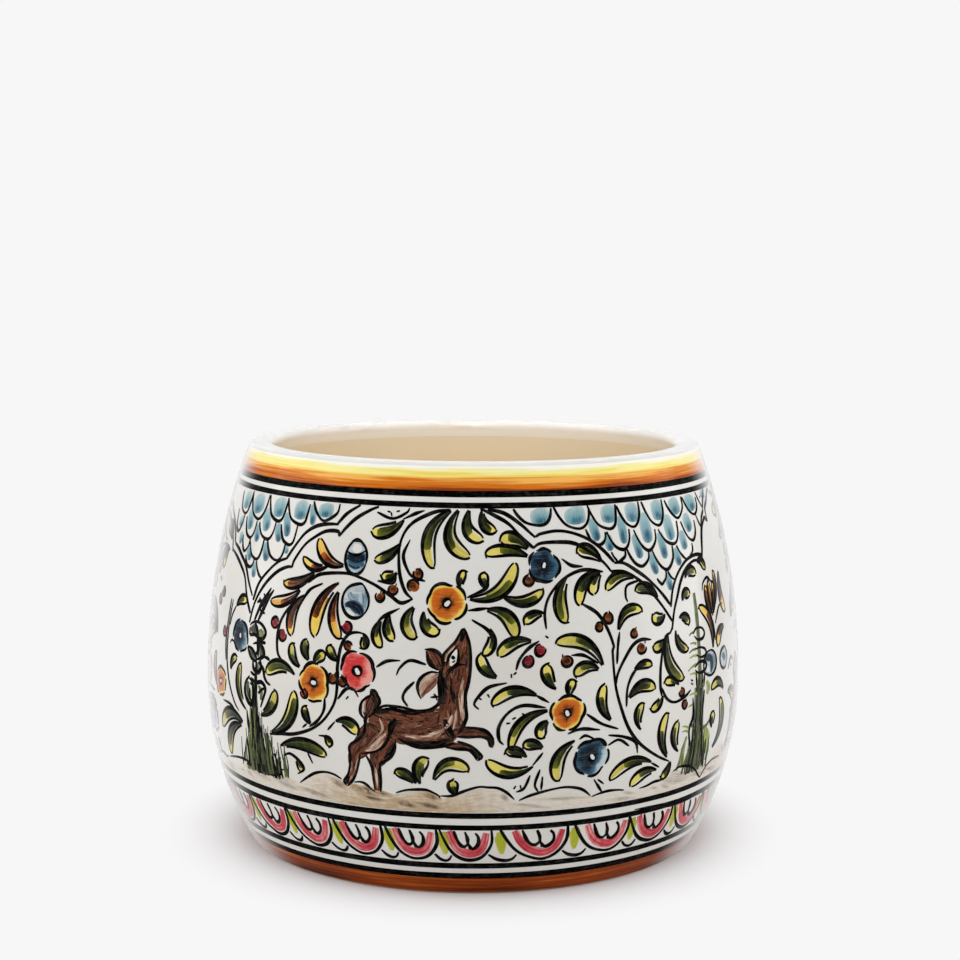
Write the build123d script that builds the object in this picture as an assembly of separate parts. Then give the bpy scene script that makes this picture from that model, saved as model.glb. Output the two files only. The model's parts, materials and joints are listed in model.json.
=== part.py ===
"""A glazed earthenware cachepot, in millimetres.

The pot is a round barrel that stands on +Z, with its origin at the middle of its foot, on the table.
A clay body carries everything. A thin coat of fired glaze covers it, laid on in rings of one colour each:
a cream lining, a white lip, a yellow and an orange rim band, three pairs of black lines with a white
fillet between them, a white panel, a white frieze and an orange band at the foot. The foot itself is bare.
"""

from build123d import *
from math import sqrt
import os

# Driving dimensions of the barrel, over the glaze
HEIGHT = 140.0
BELLY_DIAMETER = 189.4
BELLY_HEIGHT = 56.4
FOOT_DIAMETER = 159.6
RIM_DIAMETER = 158.0

# Wall, base and lip
WALL_THICKNESS = 8.2
GLAZE_THICKNESS = 0.4
BASE_THICKNESS = 8.5
FLOOR_ROUND = 14.0
LIP_ROUND = 2.2
LINING_SEAM_DROP = 1.6

# Foot
FOOT_BARE_HEIGHT = 0.6
FOOT_RING_WIDTH = 9.0
FOOT_RECESS_DEPTH = 2.5
FOOT_RECESS_ROUND = 1.2

# Widths of the painted bands, from the foot up to the panel
FOOT_BAND_WIDTH = 5.6
FOOT_LINE_WIDTH = 1.85
FOOT_FILLET_WIDTH = 2.1
FRIEZE_WIDTH = 12.2
GROUND_LINE_WIDTH = 1.7
GROUND_FILLET_WIDTH = 2.45

# Widths of the painted bands, from the lip down to the panel
YELLOW_BAND_WIDTH = 2.05
ORANGE_BAND_WIDTH = 4.7
RIM_LINE_WIDTH = 1.35
RIM_FILLET_WIDTH = 1.95

BELLY_RADIUS = BELLY_DIAMETER / 2
LIP_EDGE = HEIGHT - LIP_ROUND
LINING_TOP = HEIGHT - 2 * LIP_ROUND - LINING_SEAM_DROP
FLOOR_TOP = FOOT_RECESS_DEPTH + BASE_THICKNESS
CLAY_DEPTH = GLAZE_THICKNESS


def bend_radius(rise, drop):
    """Radius of the arc that leaves the belly upright and moves in by drop over that rise."""
    return (rise**2 + drop**2) / (2 * drop)


LOWER_BEND = bend_radius(BELLY_HEIGHT, (BELLY_DIAMETER - FOOT_DIAMETER) / 2)
UPPER_BEND = bend_radius(HEIGHT - BELLY_HEIGHT, (BELLY_DIAMETER - RIM_DIAMETER) / 2)


def wall_radius(height, depth):
    """Radius at a height of the surface that lies depth under the outside of the glaze."""
    bend = LOWER_BEND if height < BELLY_HEIGHT else UPPER_BEND
    return BELLY_RADIUS - bend + sqrt((bend - depth) ** 2 - (height - BELLY_HEIGHT) ** 2)


def wall_point(height, depth):
    return (wall_radius(height, depth), height)


def wall_line(low, high, depth):
    """The wall's outline at a depth, from low to high, as one arc on each side of the belly."""
    stops = [low, high]
    if low < BELLY_HEIGHT < high:
        stops.insert(1, BELLY_HEIGHT)
    return [
        ThreePointArc(*[wall_point(height, depth) for height in (start, (start + end) / 2, end)])
        for start, end in zip(stops, stops[1:])
    ]


def wall_section(low, high, outer_depth, inner_depth):
    """The closed strip of wall between two depths and two heights."""
    return make_face(
        [
            *wall_line(low, high, outer_depth),
            Line(wall_point(high, outer_depth), wall_point(high, inner_depth)),
            *wall_line(low, high, inner_depth),
            Line(wall_point(low, inner_depth), wall_point(low, outer_depth)),
        ]
    )


def rounded(section, corner, radius):
    """The section with the corner nearest to a point rounded."""
    return fillet(section.vertices().sort_by_distance(corner)[0], radius)


def turned(section):
    """The solid that a section in the XZ plane sweeps in one turn of the wheel."""
    return revolve(Plane.XZ * section, Axis.Z)


def lip_section(low, coat):
    """The top of the wall above a height, with its glaze taken off to the depth of coat."""
    top = HEIGHT - coat
    section = wall_section(low, top, coat, WALL_THICKNESS - coat)
    for depth in (coat, WALL_THICKNESS - coat):
        section = rounded(section, wall_point(top, depth), LIP_ROUND - coat)
    return section


def cavity_section(top, coat):
    """The hollow of the pot up to a height, with its lining taken off to the depth of coat."""
    depth = WALL_THICKNESS - coat
    floor = FLOOR_TOP - coat
    section = make_face(
        [
            Line((0, floor), wall_point(floor, depth)),
            *wall_line(floor, top, depth),
            Line(wall_point(top, depth), (0, top)),
            Line((0, top), (0, floor)),
        ]
    )
    return rounded(section, wall_point(floor, depth), FLOOR_ROUND + coat)


def clay_body():
    """The fired clay: floor, wall and lip in one, standing on a bare ring round a shallow recess."""
    foot_edge = wall_radius(FOOT_BARE_HEIGHT, CLAY_DEPTH) - FOOT_BARE_HEIGHT
    ring_inside = foot_edge - FOOT_RING_WIDTH
    barrel = make_face(
        [
            Line((0, FOOT_RECESS_DEPTH), (ring_inside, FOOT_RECESS_DEPTH)),
            Line((ring_inside, FOOT_RECESS_DEPTH), (ring_inside, 0)),
            Line((ring_inside, 0), (foot_edge, 0)),
            Line((foot_edge, 0), wall_point(FOOT_BARE_HEIGHT, CLAY_DEPTH)),
            *wall_line(FOOT_BARE_HEIGHT, LINING_TOP, CLAY_DEPTH),
            Line(wall_point(LINING_TOP, CLAY_DEPTH), (0, LINING_TOP)),
            Line((0, LINING_TOP), (0, FOOT_RECESS_DEPTH)),
        ]
    )
    barrel = rounded(barrel, (ring_inside, FOOT_RECESS_DEPTH), FOOT_RECESS_ROUND)
    wall = barrel - cavity_section(LINING_TOP, GLAZE_THICKNESS)
    return turned(wall + lip_section(LINING_TOP, GLAZE_THICKNESS))


def inner_glaze():
    """The cream lining, from the seam under the lip down and across the floor."""
    return turned(cavity_section(LINING_TOP, GLAZE_THICKNESS) - cavity_section(LINING_TOP, 0))


def lip_glaze():
    """The white glaze that rolls over the lip, from the yellow band outside to the lining's seam inside."""
    coat = lip_section(LINING_TOP, 0) - lip_section(LINING_TOP, GLAZE_THICKNESS)
    return turned(coat - wall_section(LINING_TOP, LIP_EDGE, 0, CLAY_DEPTH))


def glaze_ring(low, high):
    """One ring of glaze on the outside of the clay."""
    return turned(wall_section(low, high, 0, CLAY_DEPTH))


# What each ring is and how wide, in the order in which they are stacked
RINGS_FROM_THE_FOOT = [
    ("orange_foot_band", FOOT_BAND_WIDTH),
    ("black_lines", FOOT_LINE_WIDTH),
    ("white_fillets", FOOT_FILLET_WIDTH),
    ("black_lines", FOOT_LINE_WIDTH),
    ("frieze_glaze", FRIEZE_WIDTH),
    ("black_lines", GROUND_LINE_WIDTH),
    ("white_fillets", GROUND_FILLET_WIDTH),
    ("black_lines", GROUND_LINE_WIDTH),
]
RINGS_FROM_THE_LIP = [
    ("yellow_rim_band", YELLOW_BAND_WIDTH),
    ("orange_rim_band", ORANGE_BAND_WIDTH),
    ("black_lines", RIM_LINE_WIDTH),
    ("white_fillets", RIM_FILLET_WIDTH),
    ("black_lines", RIM_LINE_WIDTH),
]


def glaze_rings():
    """Every ring of the outside, by node: up from the foot, down from the lip, and the panel between them."""
    rings = {}
    low = FOOT_BARE_HEIGHT
    for node, width in RINGS_FROM_THE_FOOT:
        rings.setdefault(node, []).append(glaze_ring(low, low + width))
        low += width
    high = LIP_EDGE
    for node, width in RINGS_FROM_THE_LIP:
        rings.setdefault(node, []).append(glaze_ring(high - width, high))
        high -= width
    rings["panel_glaze"] = [glaze_ring(low, high)]
    print(f"panel from {low:.2f} to {high:.2f} mm")
    return rings


def main():
    os.makedirs("parts", exist_ok=True)
    nodes = {"clay_body": [clay_body()], "inner_glaze": [inner_glaze()], "lip_glaze": [lip_glaze()]}
    nodes.update(glaze_rings())
    for node, pieces in nodes.items():
        solids = [solid for piece in pieces for solid in piece.solids()]
        export_step(Compound(solids), f"parts/{node}.step")
        print(node, len(solids), "solid(s),", round(sum(solid.volume for solid in solids)), "mm3")
    ring_middle = wall_radius(FOOT_BARE_HEIGHT, CLAY_DEPTH) - FOOT_BARE_HEIGHT - FOOT_RING_WIDTH / 2
    print(f"foot ring's middle at radius {ring_middle:.2f}, floor at height {FLOOR_TOP:.2f}")
    inside = [wall_radius(height, WALL_THICKNESS) for height in (BELLY_HEIGHT, LINING_TOP)]
    print(f"inside radius {inside[0]:.2f} at the belly and {inside[1]:.2f} at the lining's seam")
    print(f"bends {LOWER_BEND:.2f} below the belly and {UPPER_BEND:.2f} above it")


main()
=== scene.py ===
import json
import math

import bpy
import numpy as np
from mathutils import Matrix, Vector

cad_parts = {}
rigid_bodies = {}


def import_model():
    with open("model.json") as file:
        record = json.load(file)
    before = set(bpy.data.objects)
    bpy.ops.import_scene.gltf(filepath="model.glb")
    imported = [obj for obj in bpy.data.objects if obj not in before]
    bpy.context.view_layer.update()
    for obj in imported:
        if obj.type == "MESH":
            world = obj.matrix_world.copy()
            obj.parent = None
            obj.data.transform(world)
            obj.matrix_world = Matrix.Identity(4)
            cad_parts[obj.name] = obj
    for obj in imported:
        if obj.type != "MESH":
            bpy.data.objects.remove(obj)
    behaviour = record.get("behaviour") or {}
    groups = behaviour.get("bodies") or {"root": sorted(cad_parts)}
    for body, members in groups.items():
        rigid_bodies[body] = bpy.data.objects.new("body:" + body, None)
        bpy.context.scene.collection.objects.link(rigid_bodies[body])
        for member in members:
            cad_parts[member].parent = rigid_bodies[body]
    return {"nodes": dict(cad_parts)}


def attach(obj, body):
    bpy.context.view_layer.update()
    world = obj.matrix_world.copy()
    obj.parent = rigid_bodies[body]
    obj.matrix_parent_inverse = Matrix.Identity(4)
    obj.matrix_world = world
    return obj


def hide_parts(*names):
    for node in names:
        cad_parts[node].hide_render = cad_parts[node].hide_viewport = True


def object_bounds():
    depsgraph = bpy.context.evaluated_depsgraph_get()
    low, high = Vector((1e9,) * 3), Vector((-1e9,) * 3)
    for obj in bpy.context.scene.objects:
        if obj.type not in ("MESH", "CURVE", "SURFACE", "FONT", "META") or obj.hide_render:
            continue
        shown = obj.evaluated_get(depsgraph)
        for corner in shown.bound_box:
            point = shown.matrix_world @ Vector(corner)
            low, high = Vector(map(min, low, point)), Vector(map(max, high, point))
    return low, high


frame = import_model()

# %% [markdown]
# # A painted earthenware cachepot
# The pot is a thrown barrel of clay. It is dipped in a white glaze, banded on the wheel, painted by hand
# with a brush, and fired once more, so that the paint sinks into the gloss. This lesson makes it in that
# order: the coats of glaze first, then the bands, then each brush stroke as a very flat piece of paint,
# then the studio. The paint could be one big picture wrapped round the pot. Strokes are better here: their
# edges stay sharp from any distance, and each pigment keeps its own finish.

MM = 0.001
CAD_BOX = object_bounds()
HEIGHT = 140.0
BELLY_RADIUS = 94.7
BELLY_HEIGHT = 56.4
LOWER_BEND = 114.19
UPPER_BEND = 230.43
WALL = 8.2
FLOOR_HEIGHT = 11.0
FLOOR_ROUND = 14.0
LIP_ROUND = 2.2
FOOT_BARE = 0.6
AROUND = 2 * math.pi * BELLY_RADIUS
box_sides = [round(1000 * side, 1) for side in CAD_BOX[1] - CAD_BOX[0]]
print("cad box", box_sides, "mm, round the belly", round(AROUND), "mm")

# %% [markdown]
# ## The surface that everything is painted on
# The wall is two arcs that meet upright at the belly. A place on it is given as a painter would measure it
# with a tape: so many millimetres round the belly from the front, and so many up from the table. `on_pot`
# turns that into a point in space, and can lift it off the glaze by the thickness of the paint. Above the
# wall it follows the lip's round.

# %% From a place on the wall to a point in space
def wall_radius(height, depth=0.0):
    bend = np.where(height < BELLY_HEIGHT, LOWER_BEND, UPPER_BEND)
    return BELLY_RADIUS - bend + np.sqrt((bend - depth) ** 2 - (height - BELLY_HEIGHT) ** 2)


LIP_HEIGHT = HEIGHT - LIP_ROUND
LIP_RADIUS = float(wall_radius(LIP_HEIGHT, LIP_ROUND))
LIP_LEAN = math.asin((LIP_HEIGHT - BELLY_HEIGHT) / (UPPER_BEND - LIP_ROUND))
LIP_START = LIP_HEIGHT + LIP_ROUND * math.sin(LIP_LEAN)


def arc_at(height):
    """The arc under a place: its centre's radius and height, its own radius, and the lean of its normal."""
    bend = np.where(height < BELLY_HEIGHT, LOWER_BEND, UPPER_BEND)
    lean = np.arcsin(np.clip((height - BELLY_HEIGHT) / bend, -1, 1))
    over = height > LIP_START
    centre_radius = np.where(over, LIP_RADIUS, BELLY_RADIUS - bend)
    centre_height = np.where(over, LIP_HEIGHT, BELLY_HEIGHT)
    lean = np.where(over, LIP_LEAN + (height - LIP_START) / LIP_ROUND, lean)
    return centre_radius, centre_height, np.where(over, LIP_ROUND, bend), lean


def on_pot(places, lifts):
    """Points in metres for places (mm round the belly, mm up), lifted by some mm along the wall's normal."""
    angle = places[:, 0] / BELLY_RADIUS
    centre_radius, centre_height, bend, lean = arc_at(places[:, 1])
    radius = centre_radius + (bend + lifts) * np.cos(lean)
    height = centre_height + (bend + lifts) * np.sin(lean)
    return MM * np.stack([radius * np.sin(angle), -radius * np.cos(angle), height], 1)


def wall_normals(places):
    angle = places[:, 0] / BELLY_RADIUS
    lean = arc_at(places[:, 1])[3]
    return np.stack([np.cos(lean) * np.sin(angle), -np.cos(lean) * np.cos(angle), np.sin(lean)], 1)


foot_belly_rim = [round(float(wall_radius(z)), 2) for z in (0.0, BELLY_HEIGHT, HEIGHT)]
print("wall radius at foot, belly and rim:", foot_belly_rim, "mm")

# %% [markdown]
# ## Meshes from plain arrays
# Every piece ends as one mesh with a material, riding on the pot's only body. `make_piece` does that for
# all of them. Smooth faces are set on the whole mesh at once, which is much faster than face by face.

# %% One piece from points and faces
def make_piece(name, points, faces, material):
    mesh = bpy.data.meshes.new(name)
    mesh.from_pydata(points.tolist(), [], faces)
    mesh.polygons.foreach_set("use_smooth", [True] * len(mesh.polygons))
    mesh.materials.append(material)
    piece = bpy.data.objects.new(name, mesh)
    bpy.context.scene.collection.objects.link(piece)
    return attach(piece, "root")


# %% [markdown]
# ## Shared finishes
# All the colours lie under one glossy skin, so three effects are shared: the glaze's faint waves and
# pinholes, the streaks that a loaded brush leaves along a stroke, and the wheel streaks of the bands. Each
# is a node group, built once.

# %% Small helpers for node trees
def linear(red, green, blue):
    """A colour as it is seen (0 to 255) in the linear values that shaders take."""
    def one(value):
        value /= 255
        return value / 12.92 if value <= 0.04045 else ((value + 0.055) / 1.055) ** 2.4
    return (one(red), one(green), one(blue), 1.0)


def new_group(name, inputs, outputs):
    group = bpy.data.node_groups.new(name, "ShaderNodeTree")
    for socket, kind, default in inputs:
        group.interface.new_socket(socket, in_out="INPUT", socket_type=kind).default_value = default
    for socket, kind in outputs:
        group.interface.new_socket(socket, in_out="OUTPUT", socket_type=kind)
    return group, group.nodes.new("NodeGroupInput"), group.nodes.new("NodeGroupOutput")


def add_node(tree, kind, links=None, **settings):
    """A node with its settings, its inputs set to a value or linked to another node's output."""
    node = tree.nodes.new(kind)
    for key, value in settings.items():
        setattr(node, key, value)
    for socket, value in (links or {}).items():
        target = node.inputs[socket]
        if isinstance(value, bpy.types.NodeSocket):
            tree.links.new(value, target)
        else:
            target.default_value = value
    return node


def maths(tree, operation, first, second, clamp=False):
    links = {0: first, 1: second}
    return add_node(tree, "ShaderNodeMath", links, operation=operation, use_clamp=clamp).outputs[0]


def blend(tree, amount, first, second):
    """A mix of two colours. A mix node keeps its colour sockets at 6 and 7, and their result at 2."""
    return add_node(tree, "ShaderNodeMix", {0: amount, 6: first, 7: second}, data_type="RGBA").outputs[2]


def ramp_value(tree, value, low, high):
    """From 0 at low to 1 at high, with soft ends. low may be the larger one."""
    links = {"Value": value, "From Min": low, "From Max": high}
    return add_node(tree, "ShaderNodeMapRange", links, interpolation_type="SMOOTHSTEP").outputs["Result"]


def place_in(tree):
    return add_node(tree, "ShaderNodeTexCoord").outputs["Object"]


def height_in(tree, place):
    return add_node(tree, "ShaderNodeSeparateXYZ", {0: place}).outputs["Z"]


def stretched(tree, vector, scale):
    return add_node(tree, "ShaderNodeMapping", {"Vector": vector, "Scale": scale}).outputs[0]


def noise(tree, vector, scale, detail, **more):
    links = {"Vector": vector, "Scale": scale, "Detail": detail, **more}
    return add_node(tree, "ShaderNodeTexNoise", links).outputs["Fac"]


def around_zero(tree, value, amount):
    """A value from 0 to 1 as a push to both sides of nothing."""
    return maths(tree, "MULTIPLY", maths(tree, "SUBTRACT", value, 0.5), amount)


# %% The glaze's skin: faint waves, pinholes and a gloss that varies a little
SKIN_INPUTS = ("Gloss", "Wave", "Pinholes")
WAVE_SCALE, PIT_SCALE, CLUSTER_SCALE, HAZE_SCALE = 90.0, 420.0, 60.0, 35.0
PIT_ROUGH, HAZE_ROUGH = 0.3, 0.08


def glaze_skin_group():
    group, come, go = new_group(
        "glaze_skin",
        [(socket, "NodeSocketFloat", 0.1) for socket in SKIN_INPUTS],
        [("Roughness", "NodeSocketFloat"), ("Normal", "NodeSocketVector")],
    )
    place = place_in(group)
    waves = noise(group, place, WAVE_SCALE, 2.0)
    cells = add_node(group, "ShaderNodeTexVoronoi", {"Vector": place, "Scale": PIT_SCALE}).outputs["Distance"]
    clusters = ramp_value(group, noise(group, place, CLUSTER_SCALE, 0.0), 0.62, 0.7)
    pits = maths(group, "MULTIPLY", ramp_value(group, cells, 0.07, 0.0), clusters)
    pits = maths(group, "MULTIPLY", pits, come.outputs["Pinholes"])
    height = maths(group, "SUBTRACT", maths(group, "MULTIPLY", waves, come.outputs["Wave"]), pits)
    bump = add_node(group, "ShaderNodeBump", {"Strength": 0.12, "Distance": 0.0006, "Height": height})
    haze = maths(group, "MULTIPLY", noise(group, place, HAZE_SCALE, 3.0), HAZE_ROUGH)
    rough = maths(group, "ADD", come.outputs["Gloss"], haze)
    rough = maths(group, "ADD", rough, maths(group, "MULTIPLY", pits, PIT_ROUGH), clamp=True)
    group.links.new(rough, go.inputs["Roughness"])
    group.links.new(bump.outputs["Normal"], go.inputs["Normal"])
    return group


# %% Three shades of one pigment, from pale to deep
SHADES = [(shade, "NodeSocketColor", (1, 1, 1, 1)) for shade in ("Pale", "Middle", "Deep")]


def painted(group, attribute, output="Fac"):
    """What a stroke's points remember."""
    return add_node(group, "ShaderNodeAttribute", attribute_name=attribute).outputs[output]


def three_shades(group, come, tone):
    lower = blend(group, ramp_value(group, tone, 0.0, 0.5), come.outputs["Pale"], come.outputs["Middle"])
    return blend(group, ramp_value(group, tone, 0.5, 1.0), lower, come.outputs["Deep"])


# %% A brush's wash: the shades streaked along the stroke, and thinned over the ground
HAIR_STRETCH, HAIR_SHARE, POOL_SHARE, TONE_GAIN = (0.16, 2.4, 1.0), 0.6, 0.4, 2.2


def brush_wash_group():
    more = [("Ground", "NodeSocketColor", (1, 1, 1, 1)), ("Streak", "NodeSocketFloat", 0.3)]
    group, come, go = new_group("brush_wash", SHADES + more, [("Color", "NodeSocketColor")])
    load, grain = painted(group, "load"), painted(group, "grain", "Vector")
    hairs = noise(group, stretched(group, grain, HAIR_STRETCH), 1.0, 3.0)
    hairs = maths(group, "MULTIPLY", hairs, HAIR_SHARE)
    pools = maths(group, "MULTIPLY", noise(group, grain, 0.5, 2.0), POOL_SHARE)
    offset = around_zero(group, maths(group, "ADD", hairs, pools), come.outputs["Streak"])
    strong = maths(group, "MULTIPLY", offset, TONE_GAIN)
    tone = maths(group, "ADD", painted(group, "shade"), strong, clamp=True)
    cover = maths(group, "ADD", load, offset, clamp=True)
    cover = maths(group, "MULTIPLY", cover, ramp_value(group, load, 0.0, 0.12))
    colour = blend(group, cover, come.outputs["Ground"], three_shades(group, come, tone))
    group.links.new(colour, go.inputs["Color"])
    return group


# %% Wheel streaks: long level streaks between three shades, the same all the way round
WHEEL_STRETCH, STREAK_DEPTH, DRIFT_DEPTH = (1.0, 1.0, 34.0), 1.9, 0.7


def wheel_streak_group():
    more = [("Level", "NodeSocketFloat", 0.5)]
    group, come, go = new_group("wheel_streak", SHADES + more, [("Color", "NodeSocketColor")])
    place = place_in(group)
    streaks = noise(group, stretched(group, place, WHEEL_STRETCH), 26.0, 4.0, Roughness=0.62)
    drift = noise(group, place, 24.0, 1.0)
    tone = maths(group, "ADD", painted(group, "shade"), around_zero(group, streaks, STREAK_DEPTH))
    tone = maths(group, "ADD", tone, around_zero(group, drift, DRIFT_DEPTH))
    tone = maths(group, "ADD", tone, maths(group, "SUBTRACT", come.outputs["Level"], 0.5), clamp=True)
    group.links.new(three_shades(group, come, tone), go.inputs["Color"])
    return group


GLAZE_SKIN = glaze_skin_group()
BRUSH_WASH = brush_wash_group()
WHEEL_STREAK = wheel_streak_group()
print("groups:", [group.name for group in bpy.data.node_groups])

# %% [markdown]
# ## The glazes and pigments
# A pigment is one material. The colours are written as they are seen, from pale to deep. Paint and glaze
# have the same gloss, because the firing melts them into one another.

# %% What every glossy material has
GROUND_WHITE = linear(226, 223, 217)
# Painted reflection of the room's white, seen from the side: its colour, where it sets in and where it is
# full
ROOM_REFLECTION_WHITE = linear(248, 247, 246)
REFLECTION_FROM, REFLECTION_TO = 0.6, 0.98
# Gloss, wave and pinholes of the glaze outside and of the lining
PLAIN_SKIN, LINING_SKIN = (0.10, 0.05, 0.3), (0.16, 0.08, 0.4)


def new_material(name):
    material = bpy.data.materials.new(name)
    material.use_nodes = True
    return material, material.node_tree, material.node_tree.nodes["Principled BSDF"]


def glossy(name, skin=PLAIN_SKIN, bend=1.2):
    """A material with the glaze's skin. bend is the refraction index: low, so that deep colours stay deep."""
    material, tree, shader = new_material(name)
    shader.inputs["IOR"].default_value = bend
    coat = add_node(tree, "ShaderNodeGroup", dict(zip(SKIN_INPUTS, skin)), node_tree=GLAZE_SKIN)
    tree.links.new(coat.outputs["Roughness"], shader.inputs["Roughness"])
    tree.links.new(coat.outputs["Normal"], shader.inputs["Normal"])
    return material, tree, shader


def with_painted_reflection(tree, colour):
    """The colour with a painted reflection: from the side, the white of the room is mixed into it."""
    aside = add_node(tree, "ShaderNodeLayerWeight", {"Blend": 0.5}).outputs["Facing"]
    return blend(tree, ramp_value(tree, aside, REFLECTION_FROM, REFLECTION_TO), colour, ROOM_REFLECTION_WHITE)


def pigment(name, pale, middle, deep, streak=0.3, group=None, bend=1.2, **values):
    """A pigment in three shades, streaked by the brush or, for a band, by the wheel."""
    material, tree, shader = glossy(name, bend=bend)
    inputs = {"Pale": linear(*pale), "Middle": linear(*middle), "Deep": linear(*deep), **values}
    if group is None:
        inputs.update(Ground=GROUND_WHITE, Streak=streak)
    wash = add_node(tree, "ShaderNodeGroup", inputs, node_tree=group or BRUSH_WASH)
    # The wash gets a painted reflection of the white room towards its sides
    tree.links.new(with_painted_reflection(tree, wash.outputs["Color"]), shader.inputs["Base Color"])
    return material


# %% White glaze, cream lining and bare clay
THICK_WHITE, THIN_WHITE, LIP_PAINTED_LIGHT_WHITE = linear(229, 227, 222), linear(222, 218, 210), linear(252, 251, 246)
CREAM, DEEP_CREAM, PALE_CREAM_PAINTED_LIGHT = linear(242, 220, 174), linear(237, 213, 165), linear(242, 233, 211)
SANDY, RUSSET, GROG = linear(196, 158, 120), linear(176, 134, 98), linear(120, 84, 60)
KILN_SPECK = linear(150, 128, 104)
# Painted light that whitens the shade inside the lip: from the lip's middle to its inside, and under its
# roll, in metres
LIP_MIDDLE, LIP_INSIDE = 0.0745, 0.0718
ROLL_EDGE, UNDER_ROLL = 0.1384, 0.1362
# Where the lining turns from cream to the lip's white, partly the lip's glaze and partly painted light, in
# metres
CREAM_TO, WHITE_FROM = 0.108, 0.134


def white_glaze():
    """White tin glaze: a little warmer where it is thin, with a few kiln specks, and painted light inside the
    lip.
    """
    material, tree, shader = glossy("white_tin_glaze", bend=1.4)
    place = place_in(tree)
    thin = ramp_value(tree, noise(tree, place, 22.0, 4.0), 0.3, 0.75)
    colour = blend(tree, thin, THICK_WHITE, THIN_WHITE)
    cells = add_node(tree, "ShaderNodeTexVoronoi", {"Vector": place, "Scale": 260.0})
    speck = ramp_value(tree, cells.outputs["Distance"], 0.09, 0.03)
    chance = add_node(tree, "ShaderNodeSeparateColor", {0: cells.outputs["Color"]}).outputs[0]
    speck = maths(tree, "MULTIPLY", speck, ramp_value(tree, chance, 0.95, 0.97))
    colour = blend(tree, maths(tree, "MULTIPLY", speck, 0.5), colour, KILN_SPECK)
    level = {0: place, 1: (1.0, 1.0, 0.0)}
    level = add_node(tree, "ShaderNodeVectorMath", level, operation="MULTIPLY").outputs[0]
    radius = add_node(tree, "ShaderNodeVectorMath", {0: level}, operation="LENGTH").outputs["Value"]
    # Painted light: whiter inside the lip and under its roll, where shade falls
    inside = ramp_value(tree, radius, LIP_MIDDLE, LIP_INSIDE)
    inside = maths(tree, "MULTIPLY", inside, ramp_value(tree, height_in(tree, place), ROLL_EDGE, UNDER_ROLL))
    colour = blend(tree, inside, colour, LIP_PAINTED_LIGHT_WHITE)
    # The white glaze gets a painted reflection of the white room towards its sides
    tree.links.new(with_painted_reflection(tree, colour), shader.inputs["Base Color"])
    return material


def cream_lining():
    """The lining: white where it leaves the lip, partly as painted light, cream further down, with faint
    throwing rings.
    """
    material, tree, shader = glossy("cream_lining", LINING_SKIN, bend=1.3)
    place = place_in(tree)
    rings = noise(tree, stretched(tree, place, (1.0, 1.0, 22.0)), 14.0, 3.0)
    cream = blend(tree, ramp_value(tree, rings, 0.3, 0.7), CREAM, DEEP_CREAM)
    wander = around_zero(tree, rings, 0.006)
    # Partly painted light: the lining turns paler up towards the lip, lifting the shade under it
    edge = ramp_value(tree, maths(tree, "ADD", height_in(tree, place), wander), CREAM_TO, WHITE_FROM)
    tree.links.new(blend(tree, edge, cream, PALE_CREAM_PAINTED_LIGHT), shader.inputs["Base Color"])
    return material


def biscuit_clay():
    """Bare fired clay: matt, sandy, with darker grog."""
    material, tree, shader = new_material("biscuit_clay")
    place = place_in(tree)
    sand = noise(tree, place, 700.0, 4.0)
    cloud = ramp_value(tree, noise(tree, place, 45.0, 3.0), 0.3, 0.7)
    colour = blend(tree, cloud, SANDY, RUSSET)
    grains = maths(tree, "MULTIPLY", ramp_value(tree, sand, 0.6, 0.75), 0.5)
    colour = blend(tree, grains, colour, GROG)
    bump = add_node(tree, "ShaderNodeBump", {"Strength": 0.35, "Distance": 0.0004, "Height": sand})
    tree.links.new(colour, shader.inputs["Base Color"])
    tree.links.new(bump.outputs["Normal"], shader.inputs["Normal"])
    shader.inputs["Roughness"].default_value = 0.85
    return material


WHITE_GLAZE = white_glaze()
CREAM_LINING = cream_lining()
BISCUIT_CLAY = biscuit_clay()
print("coats:", WHITE_GLAZE.name, CREAM_LINING.name, BISCUIT_CLAY.name)

# %% The pigments: their pale, middle and deep shade, and how strongly the brush streaks them
INK = pigment("black_brush_ink", (38, 35, 30), (7, 7, 6), (2, 2, 2), 0.2, bend=1.06)
LEAF_GREEN = pigment("leaf_green_and_yellow", (230, 212, 106), (116, 120, 34), (26, 36, 8), 0.2)
AMBER = pigment("amber_to_brown", (240, 208, 96), (202, 102, 24), (52, 24, 8), 0.3)
BLUE = pigment("flower_blue", (190, 206, 210), (54, 92, 114), (8, 22, 36), 0.3)
SCALE_BLUE = pigment("scale_turquoise", (170, 200, 202), (104, 156, 166), (28, 82, 108), 0.3)
RED = pigment("rose_red", (232, 158, 146), (208, 58, 56), (106, 16, 30), 0.35)
HIND_BROWN = pigment("hind_brown", (222, 194, 172), (112, 60, 36), (24, 13, 8), 0.4)
EARTH = pigment("earth_wash", (222, 209, 190), (186, 160, 126), (88, 80, 72), 0.5)
LOOP_RED = pigment("loop_crimson", (232, 172, 168), (198, 66, 76), (120, 22, 42), 0.4)
DROP_GREEN = pigment("drop_green", (212, 206, 84), (172, 176, 44), (108, 118, 28), 0.35)
TREE_GREEN = pigment("tree_green", (150, 162, 80), (72, 82, 44), (20, 24, 16), 0.4)
YELLOW_BAND = pigment("yellow_band", (248, 246, 236), (247, 236, 156), (241, 212, 88), group=WHEEL_STREAK)
ORANGE_BAND = pigment(
    "orange_band", (242, 182, 88), (212, 116, 28), (142, 58, 10), group=WHEEL_STREAK, Level=0.52
)
FOOT_BAND = pigment("foot_band", (200, 108, 34), (142, 57, 6), (78, 26, 1), group=WHEEL_STREAK, Level=0.5)
print("materials:", len(bpy.data.materials))

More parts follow.
